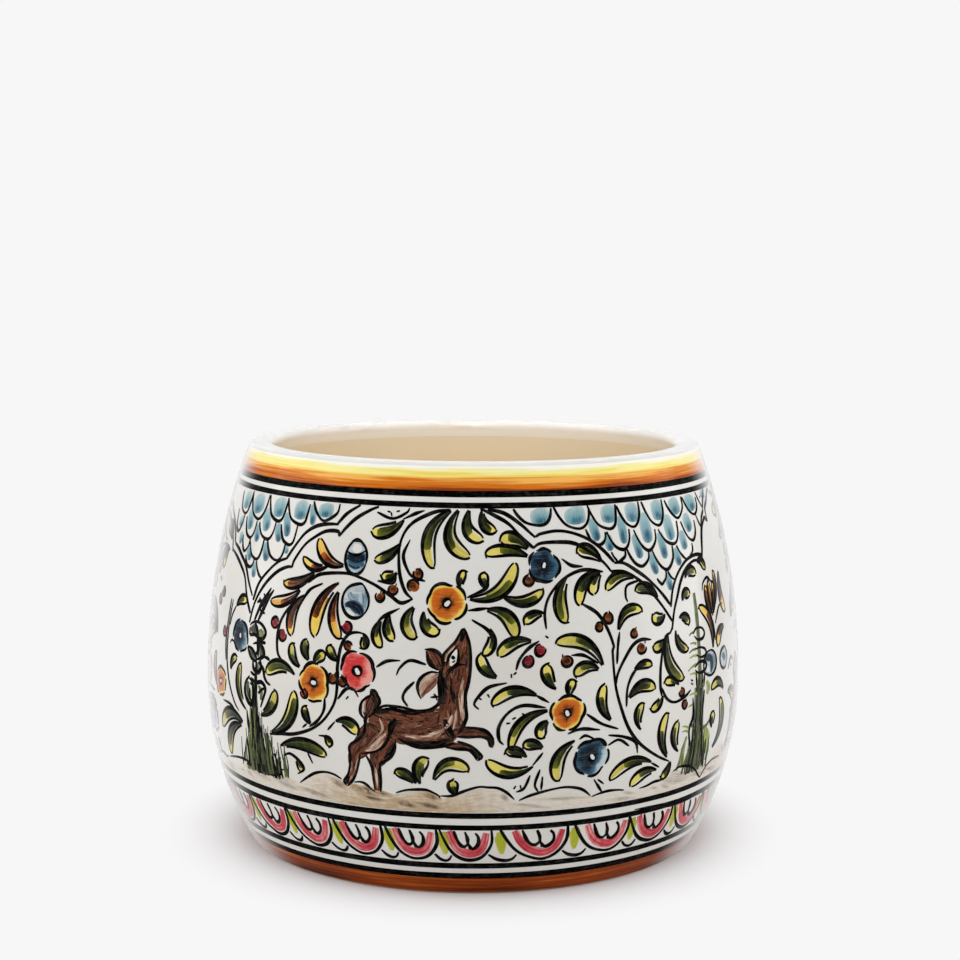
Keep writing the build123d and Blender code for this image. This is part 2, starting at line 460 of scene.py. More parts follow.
# %% [markdown]
# ## The coats of glaze
# A coat is a turned surface: a profile spun round the axis. It could be a screw modifier on a curve. Points
# are worked out directly instead, from the same two arcs as the wall, so that every stroke painted later
# lies on it exactly. The coats meet under the black rings, where no seam shows.

# %% Turned coats
TURN_STEPS = 288
ROW_STEP = 1.2


def turned_piece(name, profile, material, closed_end=False):
    """A profile of (radius, height) in mm, spun round the axis. closed_end joins its last ring there."""
    angles = np.linspace(0, 2 * math.pi, TURN_STEPS, endpoint=False)
    rows = [
        np.stack([r * np.sin(angles), -r * np.cos(angles), np.full(TURN_STEPS, z)], 1) for r, z in profile
    ]
    points = MM * np.vstack(rows)
    grid = np.arange(len(profile) * TURN_STEPS).reshape(len(profile), TURN_STEPS)
    beside = np.roll(grid, -1, axis=1)
    faces = np.stack([grid[:-1], beside[:-1], beside[1:], grid[1:]], -1).reshape(-1, 4).tolist()
    if closed_end:
        points = np.vstack([points, [0, 0, MM * profile[-1][1]]])
        faces += [[int(a), int(b), len(points) - 1] for a, b in zip(grid[-1], beside[-1])]
    return make_piece(name, points, faces, material)


def wall_profile(low, high):
    heights = np.linspace(low, high, max(2, int((high - low) / ROW_STEP) + 1))
    return [(float(wall_radius(z)), float(z)) for z in heights]


def round_corner(centre, radius, start, end, steps=9):
    turns = np.radians(np.linspace(start, end, steps))
    return [(float(centre[0] + radius * math.cos(a)), float(centre[1] + radius * math.sin(a))) for a in turns]


# %% Panel, frieze and fillets
PANEL_LOW, PANEL_HIGH = 30.05, 126.4
FRIEZE_LOW, FRIEZE_HIGH = 12.0, 24.2
FILLETS = ((8.05, 10.15), (25.9, 28.35), (127.75, 129.7))
UNDER_RING = 0.8


def white_coat(name, low, high):
    """A ring of white ground, which reaches a little under the black rings beside it."""
    return turned_piece(name, wall_profile(low - UNDER_RING, high + UNDER_RING), WHITE_GLAZE)


panel = white_coat("panel_ground", PANEL_LOW, PANEL_HIGH)
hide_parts("panel_glaze")
frieze = white_coat("frieze_ground", FRIEZE_LOW, FRIEZE_HIGH)
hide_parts("frieze_glaze")
for number, (low, high) in enumerate(FILLETS, 1):
    fillet = white_coat(f"white_fillet_{number}", low, high)
    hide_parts("white_fillets")
print("panel", PANEL_LOW, "to", PANEL_HIGH, "mm; fillets", FILLETS)

# %% Lip and lining
LIP_COAT_LOW = 131.0
LINING_TOP = 134.0
LINING_LOW, LINING_ROWS, CORNER_GAP = 20.0, 80, 0.3
FLOOR_SHARES = (0.8, 0.6, 0.4, 0.2, 0.06)


def inner_wall(heights):
    return [(float(wall_radius(z, WALL)), float(z)) for z in heights]


def lip_profile():
    """From under the rim bands, over the rounded lip, to the lining's seam inside."""
    inner_radius = float(wall_radius(LIP_HEIGHT, WALL - LIP_ROUND))
    inner_lean = math.asin((LIP_HEIGHT - BELLY_HEIGHT) / (UPPER_BEND - WALL + LIP_ROUND))
    points = wall_profile(LIP_COAT_LOW, LIP_START)[:-1]
    points += round_corner((LIP_RADIUS, LIP_HEIGHT), LIP_ROUND, math.degrees(LIP_LEAN), 90)
    points += round_corner((inner_radius, LIP_HEIGHT), LIP_ROUND, 90, 180 + math.degrees(inner_lean))
    return points + inner_wall(np.linspace(points[-1][1], LINING_TOP, 4)[1:])


def lining_profile():
    """Down the inside of the wall, round the corner and across the floor."""
    wall = inner_wall(np.linspace(LINING_TOP, LINING_LOW, LINING_ROWS))
    bend = LOWER_BEND - WALL - FLOOR_ROUND
    rise = FLOOR_HEIGHT + FLOOR_ROUND - BELLY_HEIGHT
    centre = (BELLY_RADIUS - LOWER_BEND + math.sqrt(bend**2 - rise**2), FLOOR_HEIGHT + FLOOR_ROUND)
    slope = math.degrees(math.atan2(rise, centre[0] - BELLY_RADIUS + LOWER_BEND))
    corner = round_corner(centre, FLOOR_ROUND, slope, -90, 12)
    wall = [point for point in wall if point[1] > corner[0][1] + CORNER_GAP]
    floor = [(corner[-1][0] * share, FLOOR_HEIGHT) for share in FLOOR_SHARES]
    return wall + corner + floor


lip = turned_piece("lip_coat", lip_profile(), WHITE_GLAZE)
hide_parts("lip_glaze")
lining = turned_piece("lining_coat", lining_profile(), CREAM_LINING, closed_end=True)
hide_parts("inner_glaze")
print("lip", len(lip.data.polygons), "faces, lining", len(lining.data.polygons), "faces")

# %% The clay itself comes from the CAD, and only gets its finish
clay = frame["nodes"]["clay_body"]
clay.data.materials.clear()
clay.data.materials.append(BISCUIT_CLAY)
print("clay body:", len(clay.data.polygons), "faces")

# %% [markdown]
# ## The brush
# A stroke is a closed, very flat tube that follows a path on the wall. Its top stands a few hundredths of a
# millimetre proud and its rim is sunk in the glaze, so no edge floats. Each point also remembers how loaded
# the brush is (`load`), how deep the shade is (`shade`) and where it lies along the stroke (`grain`), which
# the pigments read. The strokes of one pigment are gathered in a `Coat` and become one piece.

# %% A coat of strokes
# How far strokes stand proud, from the thinnest wash to the ink on top, and how deep their rims sink, in mm
WASH_LIFT = 0.03
FILL_LIFT = 0.05
OVER = 0.012
INK_LIFT = 0.09
SINK = 0.05
LINE_STEP = 0.7
# Widths of the lines that the brush's point draws, in mm
LINE_WIDTH, ARCH_LINE, SCALE_LINE, RIDGE_LINE, EDGE_LINE = 1.15, 1.22, 1.1, 0.95, 1.0
BLOSSOM_LINE, BUD_LINE, BUD_FINE_LINE, BERRY_LINE, TICK_LINE = 1.25, 1.2, 0.95, 1.1, 0.8
HIND_LINE, LOOP_LINE, PETAL_LINE, TONGUE_LINE = 1.1, 1.25, 1.35, 1.2
# A full turn in radians, for starts that are left to chance
FULL_TURN = 6.28
# Where the points lie across a thin line and across a broad stroke, from edge to edge
INK_ACROSS = np.array([-1.0, -0.88, 0.88, 1.0])
FILL_ACROSS = np.array([-1.0, -0.93, -0.62, -0.31, 0.0, 0.31, 0.62, 0.93, 1.0])


class Coat:
    """The strokes of one pigment: where they lie, how far they stand proud and how they are painted."""

    def __init__(self):
        self.places, self.lifts, self.shades, self.loads, self.grains, self.faces = [], [], [], [], [], []
        self.count = 0
        self.strokes = 0

    def add(self, places, lifts, faces, shade, load, grain):
        self.faces.extend((np.asarray(face) + self.count).tolist() for face in faces)
        self.places.append(places)
        self.lifts.append(lifts)
        self.shades.append(np.broadcast_to(shade, len(places)))
        self.loads.append(np.broadcast_to(load, len(places)))
        self.grains.append(np.column_stack([grain, np.full(len(places), 7.3 * self.strokes)]))
        self.count += len(places)
        self.strokes += 1

    def piece(self, name, material, slot="white_glaze"):
        """One mesh with the paint's attributes, lit as part of the wall that it lies in."""
        places = np.vstack(self.places)
        made = make_piece(name, on_pot(places, np.concatenate(self.lifts)), self.faces, material)
        mesh = made.data
        for key, values in (("shade", self.shades), ("load", self.loads)):
            mesh.attributes.new(key, "FLOAT", "POINT").data.foreach_set("value", np.concatenate(values))
        grain = mesh.attributes.new("grain", "FLOAT_VECTOR", "POINT")
        grain.data.foreach_set("vector", np.vstack(self.grains).ravel())
        mesh.normals_split_custom_set_from_vertices(wall_normals(places).tolist())
        print(f"{name}: {self.strokes} strokes, {len(mesh.polygons)} faces")
        return made


# %% Smooth paths
def even(line, spacing):
    """A polyline resampled to an even spacing."""
    steps = np.linalg.norm(np.diff(line, axis=0), axis=1)
    reach = np.concatenate([[0], np.cumsum(steps)])
    marks = np.linspace(0, reach[-1], max(4, int(reach[-1] / spacing) + 1))
    return np.column_stack([np.interp(marks, reach, line[:, k]) for k in range(line.shape[1])])


def flow(points, spacing=LINE_STEP):
    """A smooth Catmull-Rom line through points, in even steps. More columns, such as widths, flow along."""
    p = np.asarray(points, float)
    ends = np.vstack([2 * p[0] - p[1], p, 2 * p[-1] - p[-2]])
    t = np.linspace(0, 1, 14, endpoint=False)[:, None]
    spans = [
        0.5 * (2 * b + (c - a) * t + (2 * a - 5 * b + 4 * c - d) * t**2 + (3 * b - a - 3 * c + d) * t**3)
        for a, b, c, d in zip(ends, ends[1:], ends[2:], ends[3:])
    ]
    return even(np.vstack([*spans, p[-1:]]), spacing)


def side_steps(path):
    """The unit step to the left of a path at each of its points."""
    ahead = np.gradient(path, axis=0)
    return np.stack([-ahead[:, 1], ahead[:, 0]], 1) / (np.linalg.norm(ahead, axis=1, keepdims=True) + 1e-9)


# %% Two kinds of stroke: a sweep along a path, and a filled spot
def sweep(coat, path, half_widths, lift, shade=0.6, load=1.0, across=FILL_ACROSS, closed=False):
    """A stroke along a path. shade and load are numbers, or functions of (share along, side from -1 to 1)."""
    left = side_steps(path)
    count, columns = len(path), len(across)
    places = path[:, None, :] + left[:, None, :] * half_widths[:, None, None] * across[None, :, None]
    lifts = np.broadcast_to(np.where(np.abs(across) > 0.99, -SINK, lift), (count, columns))
    along, side = np.meshgrid(np.linspace(0, 1, count), across, indexing="ij")
    reach = np.concatenate([[0], np.cumsum(np.linalg.norm(np.diff(path, axis=0), axis=1))])
    grain = np.column_stack([np.repeat(reach, columns), (half_widths[:, None] * across[None, :]).ravel()])
    grid = np.arange(count * columns).reshape(count, columns)
    beside = np.roll(grid, -1, axis=1)
    here, there = (grid, np.roll(grid, -1, axis=0)) if closed else (grid[:-1], grid[1:])
    beside_there = np.roll(beside, -1, axis=0) if closed else beside[1:]
    faces = list(np.stack([here, there, beside_there, beside if closed else beside[:-1]], -1).reshape(-1, 4))
    if not closed:
        faces += [grid[0], grid[-1][::-1]]
    value = [part(along, side).ravel() if callable(part) else part for part in (shade, load)]
    coat.add(places.reshape(-1, 2), lifts.ravel(), faces, *value, grain)


def blot(coat, centre, radius_at, lift, shade=0.6, load=1.0, rings=6, spokes=30):
    """A filled spot. radius_at gives its radius at an angle; shade and load may follow (share out, angle)."""
    shares = np.concatenate([np.linspace(0, 0.93, rings), [1.0]])[1:]
    angles = np.linspace(0, 2 * math.pi, spokes, endpoint=False)
    out, turn = np.meshgrid(shares, angles, indexing="ij")
    reach = out * radius_at(turn)
    offsets = np.stack([reach * np.cos(turn), reach * np.sin(turn)], -1).reshape(-1, 2)
    offsets = np.vstack([[0, 0], offsets])
    lifts = np.concatenate([[lift], np.where(out > 0.99, -SINK, lift).ravel()])
    grid = 1 + np.arange(len(shares) * spokes).reshape(len(shares), spokes)
    beside = np.roll(grid, -1, axis=1)
    faces = [[0, a, b] for a, b in zip(grid[0], beside[0])]
    faces += list(np.stack([grid[:-1], grid[1:], beside[1:], beside[:-1]], -1).reshape(-1, 4))
    faces.append(grid[-1][::-1])
    out, turn = np.concatenate([[0], out.ravel()]), np.concatenate([[0], turn.ravel()])
    value = [part(out, turn) if callable(part) else part for part in (shade, load)]
    coat.add(np.asarray(centre) + offsets, lifts, faces, *value, offsets)


# %% [markdown]
# ## Bands and rings
# The potter holds a loaded brush against the turning pot. The rings wander a little, and swell where the
# brush pauses. A ring is a stroke that closes on itself, with its height and width made of a few slow
# waves.

# %% Rings painted on the wheel
RING_STEPS = 480
WANDER_TURNS = (2, 3, 5, 9, 17)
ring_chance = np.random.default_rng(11)


def slow_waves(amount):
    """A wander that closes on itself: a few waves round the pot, the slow ones largest."""
    angle = np.linspace(0, 2 * math.pi, RING_STEPS, endpoint=False)
    parts = [np.sin(k * angle + ring_chance.uniform(0, FULL_TURN)) / k**0.6 for k in WANDER_TURNS]
    return amount * np.sum(parts, axis=0) / len(WANDER_TURNS)


def ring(coat, low, high, lift, wander, shade):
    place = np.linspace(-AROUND / 2, AROUND / 2, RING_STEPS, endpoint=False)
    bottom, top = low + slow_waves(wander), high + slow_waves(wander)
    path = np.column_stack([place, (bottom + top) / 2])
    sweep(coat, path, (top - bottom) / 2, lift, shade, 1.0, closed=True)


# %% Yellow, orange and foot band: their lower and upper edges, and a piece for each
YELLOW_EDGES, ORANGE_EDGES, FOOT_EDGES = (135.2, 139.1), (130.6, 135.75), (FOOT_BARE + 0.1, 6.5)


def band(name, material, slot, edges, lift, wander, shade):
    coat = Coat()
    ring(coat, *edges, lift, wander, shade)
    return coat.piece(name, material, slot)


def yellow_shade(along, side):
    return 0.6 - 0.25 * side - 0.6 * np.clip(side, 0, 1) ** 2


def orange_shade(along, side):
    return 0.52 - 0.55 * side


def foot_shade(along, side):
    return 0.55 - 0.15 * side


yellow = band("yellow_band", YELLOW_BAND, "yellow_glaze", YELLOW_EDGES, 0.03, 0.3, yellow_shade)
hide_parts("yellow_rim_band")
orange = band("orange_band", ORANGE_BAND, "orange_glaze", ORANGE_EDGES, 0.05, 0.5, orange_shade)
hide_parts("orange_rim_band")
foot = band("foot_band", FOOT_BAND, "orange_glaze", FOOT_EDGES, 0.04, 0.15, foot_shade)
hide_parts("orange_foot_band")

# %% The black rings
BLACK_RINGS = ((6.2, 8.05), (10.15, 12.0), (24.2, 25.9), (28.35, 30.05), (126.4, 127.9), (129.65, 131.4))
RING_SWELL, RING_LIFT, RING_WANDER, RING_SHADE = 0.15, 0.07, 0.3, 0.8
rings = Coat()
for low, high in BLACK_RINGS:
    ring(rings, low - RING_SWELL, high + RING_SWELL, RING_LIFT, RING_WANDER, RING_SHADE)
black = rings.piece("black_rings", INK, "black_glaze")
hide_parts("black_lines")

# %% [markdown]
# ## Leaves, blossoms and berries
# Everything in the panel is made of a few brush figures. A leaf is one press of the brush, dark green at
# its foot and yellow at its tip, with a black crescent drawn along its fuller side. A blossom is a
# scalloped spot with a dark heart and a white eye. Each figure is a function, so that the panels below only
# say where it goes and how it bends.

# %% The brushes, one coat for each pigment
PIGMENTS = {
    "ink": INK, "leaf": LEAF_GREEN, "amber": AMBER, "blue": BLUE, "scale": SCALE_BLUE, "red": RED,
    "loop": LOOP_RED, "hind": HIND_BROWN, "earth": EARTH, "tree": TREE_GREEN, "drop": DROP_GREEN,
}
OWN_TO_PANEL = ("ink", "leaf", "hind")
shared_coats = {name: Coat() for name in PIGMENTS if name not in OWN_TO_PANEL}


class Panel:
    """One side of the pot: its coats of paint, and how its drawing is placed and varied."""

    def __init__(self, name, middle, stretch, shake, seed):
        self.name, self.middle, self.stretch, self.shake = name, middle, stretch, shake
        self.chance = np.random.default_rng(seed)
        self.coats = {**shared_coats, **{own: Coat() for own in OWN_TO_PANEL}}

    def place(self, points):
        """Drawing places moved to this side. The painter never repeats a place exactly."""
        moved = np.array(points, float)
        moved[:, 0] = self.middle + (moved[:, 0] - DRAWING_MIDDLE) * self.stretch
        moved[:, :2] += self.chance.normal(0, self.shake, (len(moved), 2))
        return moved


def ink_line(panel, points, width=LINE_WIDTH, lift=INK_LIFT, ends=0.35, placed=False):
    """A line with the brush's point: it swells and thins a little and lifts off at both ends."""
    path = flow(points if placed else panel.place(points))
    share = np.linspace(0, 1, len(path))
    taper = ends + (1 - ends) * np.clip(np.minimum(share, 1 - share) * len(path) / 5, 0, 1) ** 0.6
    swell = 1 + 0.16 * np.sin(share * panel.chance.uniform(4, 11) + panel.chance.uniform(0, 6))
    sweep(panel.coats["ink"], path, width / 2 * taper * swell, lift, 0.62, 1.0, INK_ACROSS)


def tick(panel, place, length=1.3, turn=0.0):
    """One short touch of the point."""
    step = length / 2 * np.array([math.cos(turn), math.sin(turn)])
    touch = [np.array(place) - step, place, np.array(place) + step]
    ink_line(panel, touch, TICK_LINE, ends=0.6, placed=True)


# %% A leaf
def leaf(panel, base_x, base_z, tip_x, tip_z, bow=0.15, width=3.5, pigment="leaf"):
    """A leaf from base to tip, which bows to the left of that way when bow is positive.

    A light touch lies at its tip and spills over, a dark stroke covers its foot and fuller side, and the
    point draws both edges. Some white stays bare between them.
    """
    base, tip = panel.place([(base_x, base_z), (tip_x, tip_z)])
    along = tip - base
    left = np.array([-along[1], along[0]])
    t = np.linspace(0, 1, max(14, int(np.hypot(*along) / 0.55)))
    spine = base + along * t[:, None] + left * (4 * bow * t * (1 - t))[:, None]
    full = width / 2 * (t + 0.02) ** 0.65 * np.sqrt(1.03 - t**3.5) / 0.76
    side = 1 if bow >= 0 else -1
    outward = side_steps(spine) * side
    chance, coat, ink = panel.chance, panel.coats[pigment], panel.coats["ink"]
    spill = -outward * chance.uniform(0.0, 0.6) + chance.normal(0, 0.25, 2)
    sweep(
        coat, spine + spill, 1.02 * full, WASH_LIFT, 0.02,
        lambda s, c: np.clip(0.45 * s - 0.3 * c**2, 0.03, 1),
    )
    start = int(len(t) * chance.uniform(0.15, 0.4))
    light, bare = chance.uniform(0.0, 0.2), chance.uniform(0.0, 0.2)
    sweep(
        coat, (spine + outward * (bare * full)[:, None])[start:], (0.86 - bare) * full[start:], FILL_LIFT,
        lambda s, c: np.clip(light + 0.35 * (1 - s) ** 2, 0, 1),
        lambda s, c: np.clip(1.1 - 0.4 * c**6, 0, 1),
    )
    stop = int(len(t) * chance.uniform(0.66, 0.97))
    lean = chance.uniform(0.05, 0.34)
    dark = (spine + outward * (lean * full)[:, None])[:stop]
    dark_width = ((0.96 - lean) * full)[:stop] * np.clip((stop - np.arange(stop)) / 3.0, 0.25, 1) ** 0.5
    deep = chance.uniform(0.92, 1.1)
    sweep(
        coat, dark, dark_width, FILL_LIFT + OVER,
        lambda s, c: np.clip(deep - 0.16 * s - 0.1 * c * side - 0.2 * s**8, 0, 1),
    )
    hook = -chance.uniform(0.0, 1.5) * outward[-1] + along / np.hypot(*along) * chance.uniform(0.1, 0.9)
    heavy = LINE_WIDTH / 2 * np.concatenate([0.75 + 0.6 * np.sin(math.pi * t) ** 1.5, [0.66, 0.35]])
    edge = np.vstack([spine + outward * full[:, None], tip + hook * 0.6, tip + hook])
    outer = even(np.column_stack([edge, heavy]), 0.5)
    sweep(ink, outer[:, :2], outer[:, 2], INK_LIFT, 0.8, 1.0, INK_ACROSS)
    begin = int(len(t) * max(0.0, chance.uniform(-0.2, 0.25)))
    inner = (spine - outward * full[:, None])[begin:]
    fine = LINE_WIDTH * (0.55 + 0.4 * np.sin(math.pi * t[begin:]))
    sweep(ink, inner, fine / 2, INK_LIFT, 0.75, 1.0, INK_ACROSS)


# %% Rounds drawn by hand
def wobbly(panel, radius, lobes=0, depth=0.0):
    """A radius that varies round a spot: some lobes and the hand's unsteadiness."""
    turn, uneven = panel.chance.uniform(0, FULL_TURN, 2)
    return lambda angle: radius * (
        1 + depth * np.cos(lobes * angle + turn)
        + 0.05 * np.sin(2 * angle + uneven) + 0.03 * np.sin(3 * angle + turn)
    )


def outline(panel, centre, radius_at, start, sweep_angle, width=LINE_WIDTH):
    """Part of the line round a spot, from a start angle on."""
    angles = np.linspace(start, start + sweep_angle, max(6, int(8 * sweep_angle)))
    reach = radius_at(angles)
    around = np.stack([reach * np.cos(angles), reach * np.sin(angles)], 1)
    ink_line(panel, np.array(centre) + around, width, placed=True)


def scalloped(panel, radius, lobes):
    """A radius with round petals that meet in notches."""
    turn, uneven = panel.chance.uniform(0, FULL_TURN, 2)
    return lambda angle: radius * (
        0.92 + 0.11 * np.abs(np.cos(lobes / 2 * (angle - turn))) ** 0.7
        + 0.04 * np.sin(2 * angle + uneven) + 0.03 * np.sin(3 * angle + turn)
    )


# %% A blossom: how deep each pigment is, from the middle to the rim
BLOSSOM_RINGS = (0.0, 0.3, 0.42, 0.62, 0.78, 0.9, 1.0)
BLOSSOM_SHADES = {
    "amber": (1.0, 0.88, 0.66, 0.57, 0.5, 0.12, 0.02),
    "red": (1.0, 0.74, 0.54, 0.5, 0.46, 0.3, 0.16),
    "blue": (1.0, 1.0, 0.98, 0.9, 0.82, 0.74, 0.66),
}
# Sizes of the black heart and the white eye, in shares of the blossom's radius
BLOSSOM_HEARTS = {"amber": (0.3, 0.16), "red": (0.36, 0.17), "blue": (0.25, 0.15)}
# The outline in four parts: where each begins and how far it goes, in radians
OUTLINE_PARTS = ((0.0, 2.0), (2.15, 1.6), (3.95, 1.1), (5.2, 0.9))
LOBES, HAIRS = 5, 10


def blossom(panel, x, z, radius, pigment, pale=0.15):
    """Deep round its white eye, lighter at its rim and, by pale, on its lower right, with a bold outline."""
    centre = panel.place([(x, z)])[0]
    petals, coat, chance = scalloped(panel, radius, LOBES), panel.coats[pigment], panel.chance
    tones = BLOSSOM_SHADES[pigment]
    pale_side, uneven = chance.uniform(-0.6, -0.2), chance.uniform(0, FULL_TURN)

    def shade(out, angle):
        deep = np.interp(out + 0.05 * np.sin(5 * angle + uneven), BLOSSOM_RINGS, tones)
        turned_to = np.clip(1.6 * np.cos(angle - pale_side) - 0.3, 0, 1)
        return np.clip(deep - pale * turned_to * np.clip(2.2 * out - 0.5, 0, 1), 0, 1)

    blot(coat, centre, petals, FILL_LIFT, shade, 1.0, rings=12, spokes=48)
    for turn in chance.uniform(0, FULL_TURN, HAIRS):
        near, far = chance.uniform(0.28, 0.4), chance.uniform(0.6, 0.82)
        way = radius * np.array([math.cos(turn), math.sin(turn)])
        hair = flow([centre + near * way, centre + (near + far) / 2 * way, centre + far * way], 0.4)
        start, end = float(shade(near, turn)) + 0.04, float(shade(far, turn)) + 0.06
        sweep(
            coat, hair, np.linspace(0.34, 0.08, len(hair)), FILL_LIFT + OVER,
            lambda s, c: np.clip(start + (end - start) * s, 0, 1), 1.0, INK_ACROSS,
        )
    heart, eye = BLOSSOM_HEARTS[pigment]
    black = wobbly(panel, radius * heart)
    blot(panel.coats["ink"], centre, black, FILL_LIFT + 2 * OVER, 0.8, rings=3, spokes=18)
    white = wobbly(panel, radius * eye, 2, 0.25)
    aside = centre + chance.normal(0, 0.12, 2)
    blot(panel.coats["earth"], aside, white, FILL_LIFT + 0.034, 0.0, 0.0, rings=3, spokes=14)
    begin = chance.uniform(0, FULL_TURN)
    for part, reach in OUTLINE_PARTS:
        outline(panel, centre, lambda angle: petals(angle) + 0.2, begin + part, reach, BLOSSOM_LINE)


# %% A berry and a bud
def berry(panel, x, z, radius=1.6, pigment="amber", deep=0.95):
    """A small fruit: a wash, a dark touch off its middle, and a broken outline with a little crown."""
    centre = panel.place([(x, z)])[0]
    chance, coat = panel.chance, panel.coats[pigment]
    round_spot = wobbly(panel, radius)
    low = centre + chance.normal(0, 0.15, 2) + (0.1, -0.2)
    wash = wobbly(panel, 1.02 * radius)
    blot(coat, low, wash, FILL_LIFT, lambda out, angle: 0.82 - 0.1 * out**3, 1.0, 6, 18)
    dark = centre + chance.normal(0, 0.22, 2) + (0, 0.2)
    spot = wobbly(panel, 0.74 * radius, 3, 0.12)
    blot(coat, dark, spot, FILL_LIFT + OVER, lambda out, angle: deep - 0.12 * out**3, 1.0, 5, 18)
    outline(panel, centre, round_spot, chance.uniform(0, 3.1), chance.uniform(4.0, 6.2), BERRY_LINE)
    if pigment == "amber":
        edge = centre + radius * np.array([chance.normal(0, 0.4), 1.0])
        ink_line(panel, [edge - (0.1, 0.5), edge, edge + (0.1, 0.5)], TICK_LINE, placed=True)


def bud(panel, x, z, wide, tall, tip, strokes):
    """A blue bud, its point at the angle tip. strokes are (shade, places and half-widths in its size)."""
    centre = panel.place([(x, z)])[0]
    size = np.array([wide, tall])
    coat = panel.coats["blue"]

    def oval(angle):
        round_part = wide * tall / np.hypot(tall * np.cos(angle), wide * np.sin(angle))
        from_tip = (angle - tip + math.pi) % (2 * math.pi) - math.pi
        return round_part * (1 + 0.14 * np.exp(-((from_tip / 0.3) ** 2)))

    def load(out, angle):
        return np.clip(0.8 + 0.2 * np.sin(angle + 2), 0, 1)

    blot(coat, centre, oval, FILL_LIFT, 0.2, load, rings=8, spokes=36)
    for number, (shade, stroke) in enumerate(strokes, 1):
        path = flow([(*(centre + size * point[:2]), point[2] * wide) for point in stroke], 0.5)
        under = 0.2 if shade > 0.3 else shade
        sweep(
            coat, path[:, :2], path[:, 2], FILL_LIFT + 0.008 * number,
            lambda s, c: shade + (under - shade) * np.clip(c**6 + (2 * s - 1) ** 10, 0, 1),
            1.0 if shade > 0.15 else 0.15,
        )
    outline(panel, centre, oval, tip - 0.1, 4.4, BUD_LINE)
    outline(panel, centre, oval, tip + 4.2, 2.1, BUD_FINE_LINE)


# %% [markdown]
# ## What the painter draws
# The places below are chosen from the photograph: millimetres round the belly from the front, and up
# from the table. They follow the traditional plan of such pots. A scalloped arch frames each side, blue
# scales fill the corners, leaves and blossoms scroll over a hind that leaps along low mounds, and a slim
# tree stands between the sides.

# %% The scalloped arch
DRAWING_MIDDLE = -6.75
ARCH_OUTER = [
    [(-86.3, 91.8), (-84, 97.8), (-79.2, 102.6), (-74.7, 105.9), (-70.8, 107.2)],
    [(-70.8, 107.2), (-68.4, 110.7), (-64.5, 115.5), (-59.6, 118.2), (-54.7, 119.5), (-49.8, 119.8)],
    [(-49.8, 119.8), (-46.8, 123.1), (-41.8, 126.3)],
    [(4.7, 126.1), (10.6, 124.6), (16, 121.6), (19.5, 118.6), (21.5, 117.1)],
    [(21.5, 117.1), (23.5, 118.4), (29.4, 119), (35.3, 118), (41.2, 115.7), (46.2, 112.5), (50.1, 108.1)],
    [(50.1, 108.1), (54.2, 107.5), (59.1, 104.9), (64, 101.4), (68.9, 97.1), (72.7, 92.6)],
]
ARCH_INNER = [
    [(-86.9, 84.4), (-85.4, 89.9), (-83, 94.4), (-79.2, 98.9), (-74.3, 102.8), (-69.4, 104.6),
     (-67.7, 104.7)],
    [(-67.7, 104.7), (-66.9, 107.2), (-63.5, 112), (-59.6, 114.9), (-54.7, 117), (-49.7, 117.6),
     (-49, 115.9)],
    [(-49, 115.9), (-46.5, 118.9), (-42.8, 122.2), (-37.8, 124.8), (-34.8, 126.2)],
    [(2.2, 126.1), (7.2, 124.1), (12.1, 121.4), (16.5, 117.4), (20.3, 113.9)],
    [(20.3, 113.9), (23, 115.2), (29.4, 115.7), (35.3, 115), (41.3, 111.9), (45.7, 108.6), (48.4, 105.6)],
    [(48.4, 105.6), (54.2, 104.8), (59.6, 102), (64.2, 97.9), (69, 92.6), (73, 87.4)],
]
# The right neighbour's first scallops, as far as they show
RIGHT_OUTER = [
    [(73.1, 91.8), (75, 97), (78, 101), (82, 104), (86.5, 105.9), (92, 106.6), (97, 106)],
    [(97, 106), (98.5, 110), (100.5, 114), (103, 117.5), (106.5, 119.8)],
]
RIGHT_INNER = [
    [(72.7, 84.4), (74.5, 90), (77, 94.5), (80, 99.2), (84, 102.8), (90, 104.8), (96, 104)],
    [(96, 104), (97.6, 107.4), (99.8, 111.8), (102.6, 115.4), (106.4, 117.4), (107.2, 115.9)],
]


def arch_lines(panel):
    """A side's outer and inner lines. The right neighbour's first scallops are as the photograph has them."""
    outer, inner = [[panel.place(line) for line in lines] for lines in (ARCH_OUTER, ARCH_INNER)]
    if panel.name == "right":
        outer[:2] = [np.array(line) for line in RIGHT_OUTER]
        inner[:2] = [np.array(line) for line in RIGHT_INNER]
    return outer, inner


def arch(panel):
    for lines in arch_lines(panel):
        for line in lines:
            ink_line(panel, line, ARCH_LINE, ends=0.75, placed=True)


print("arch:", len(ARCH_OUTER), "outer and", len(ARCH_INNER), "inner lines")

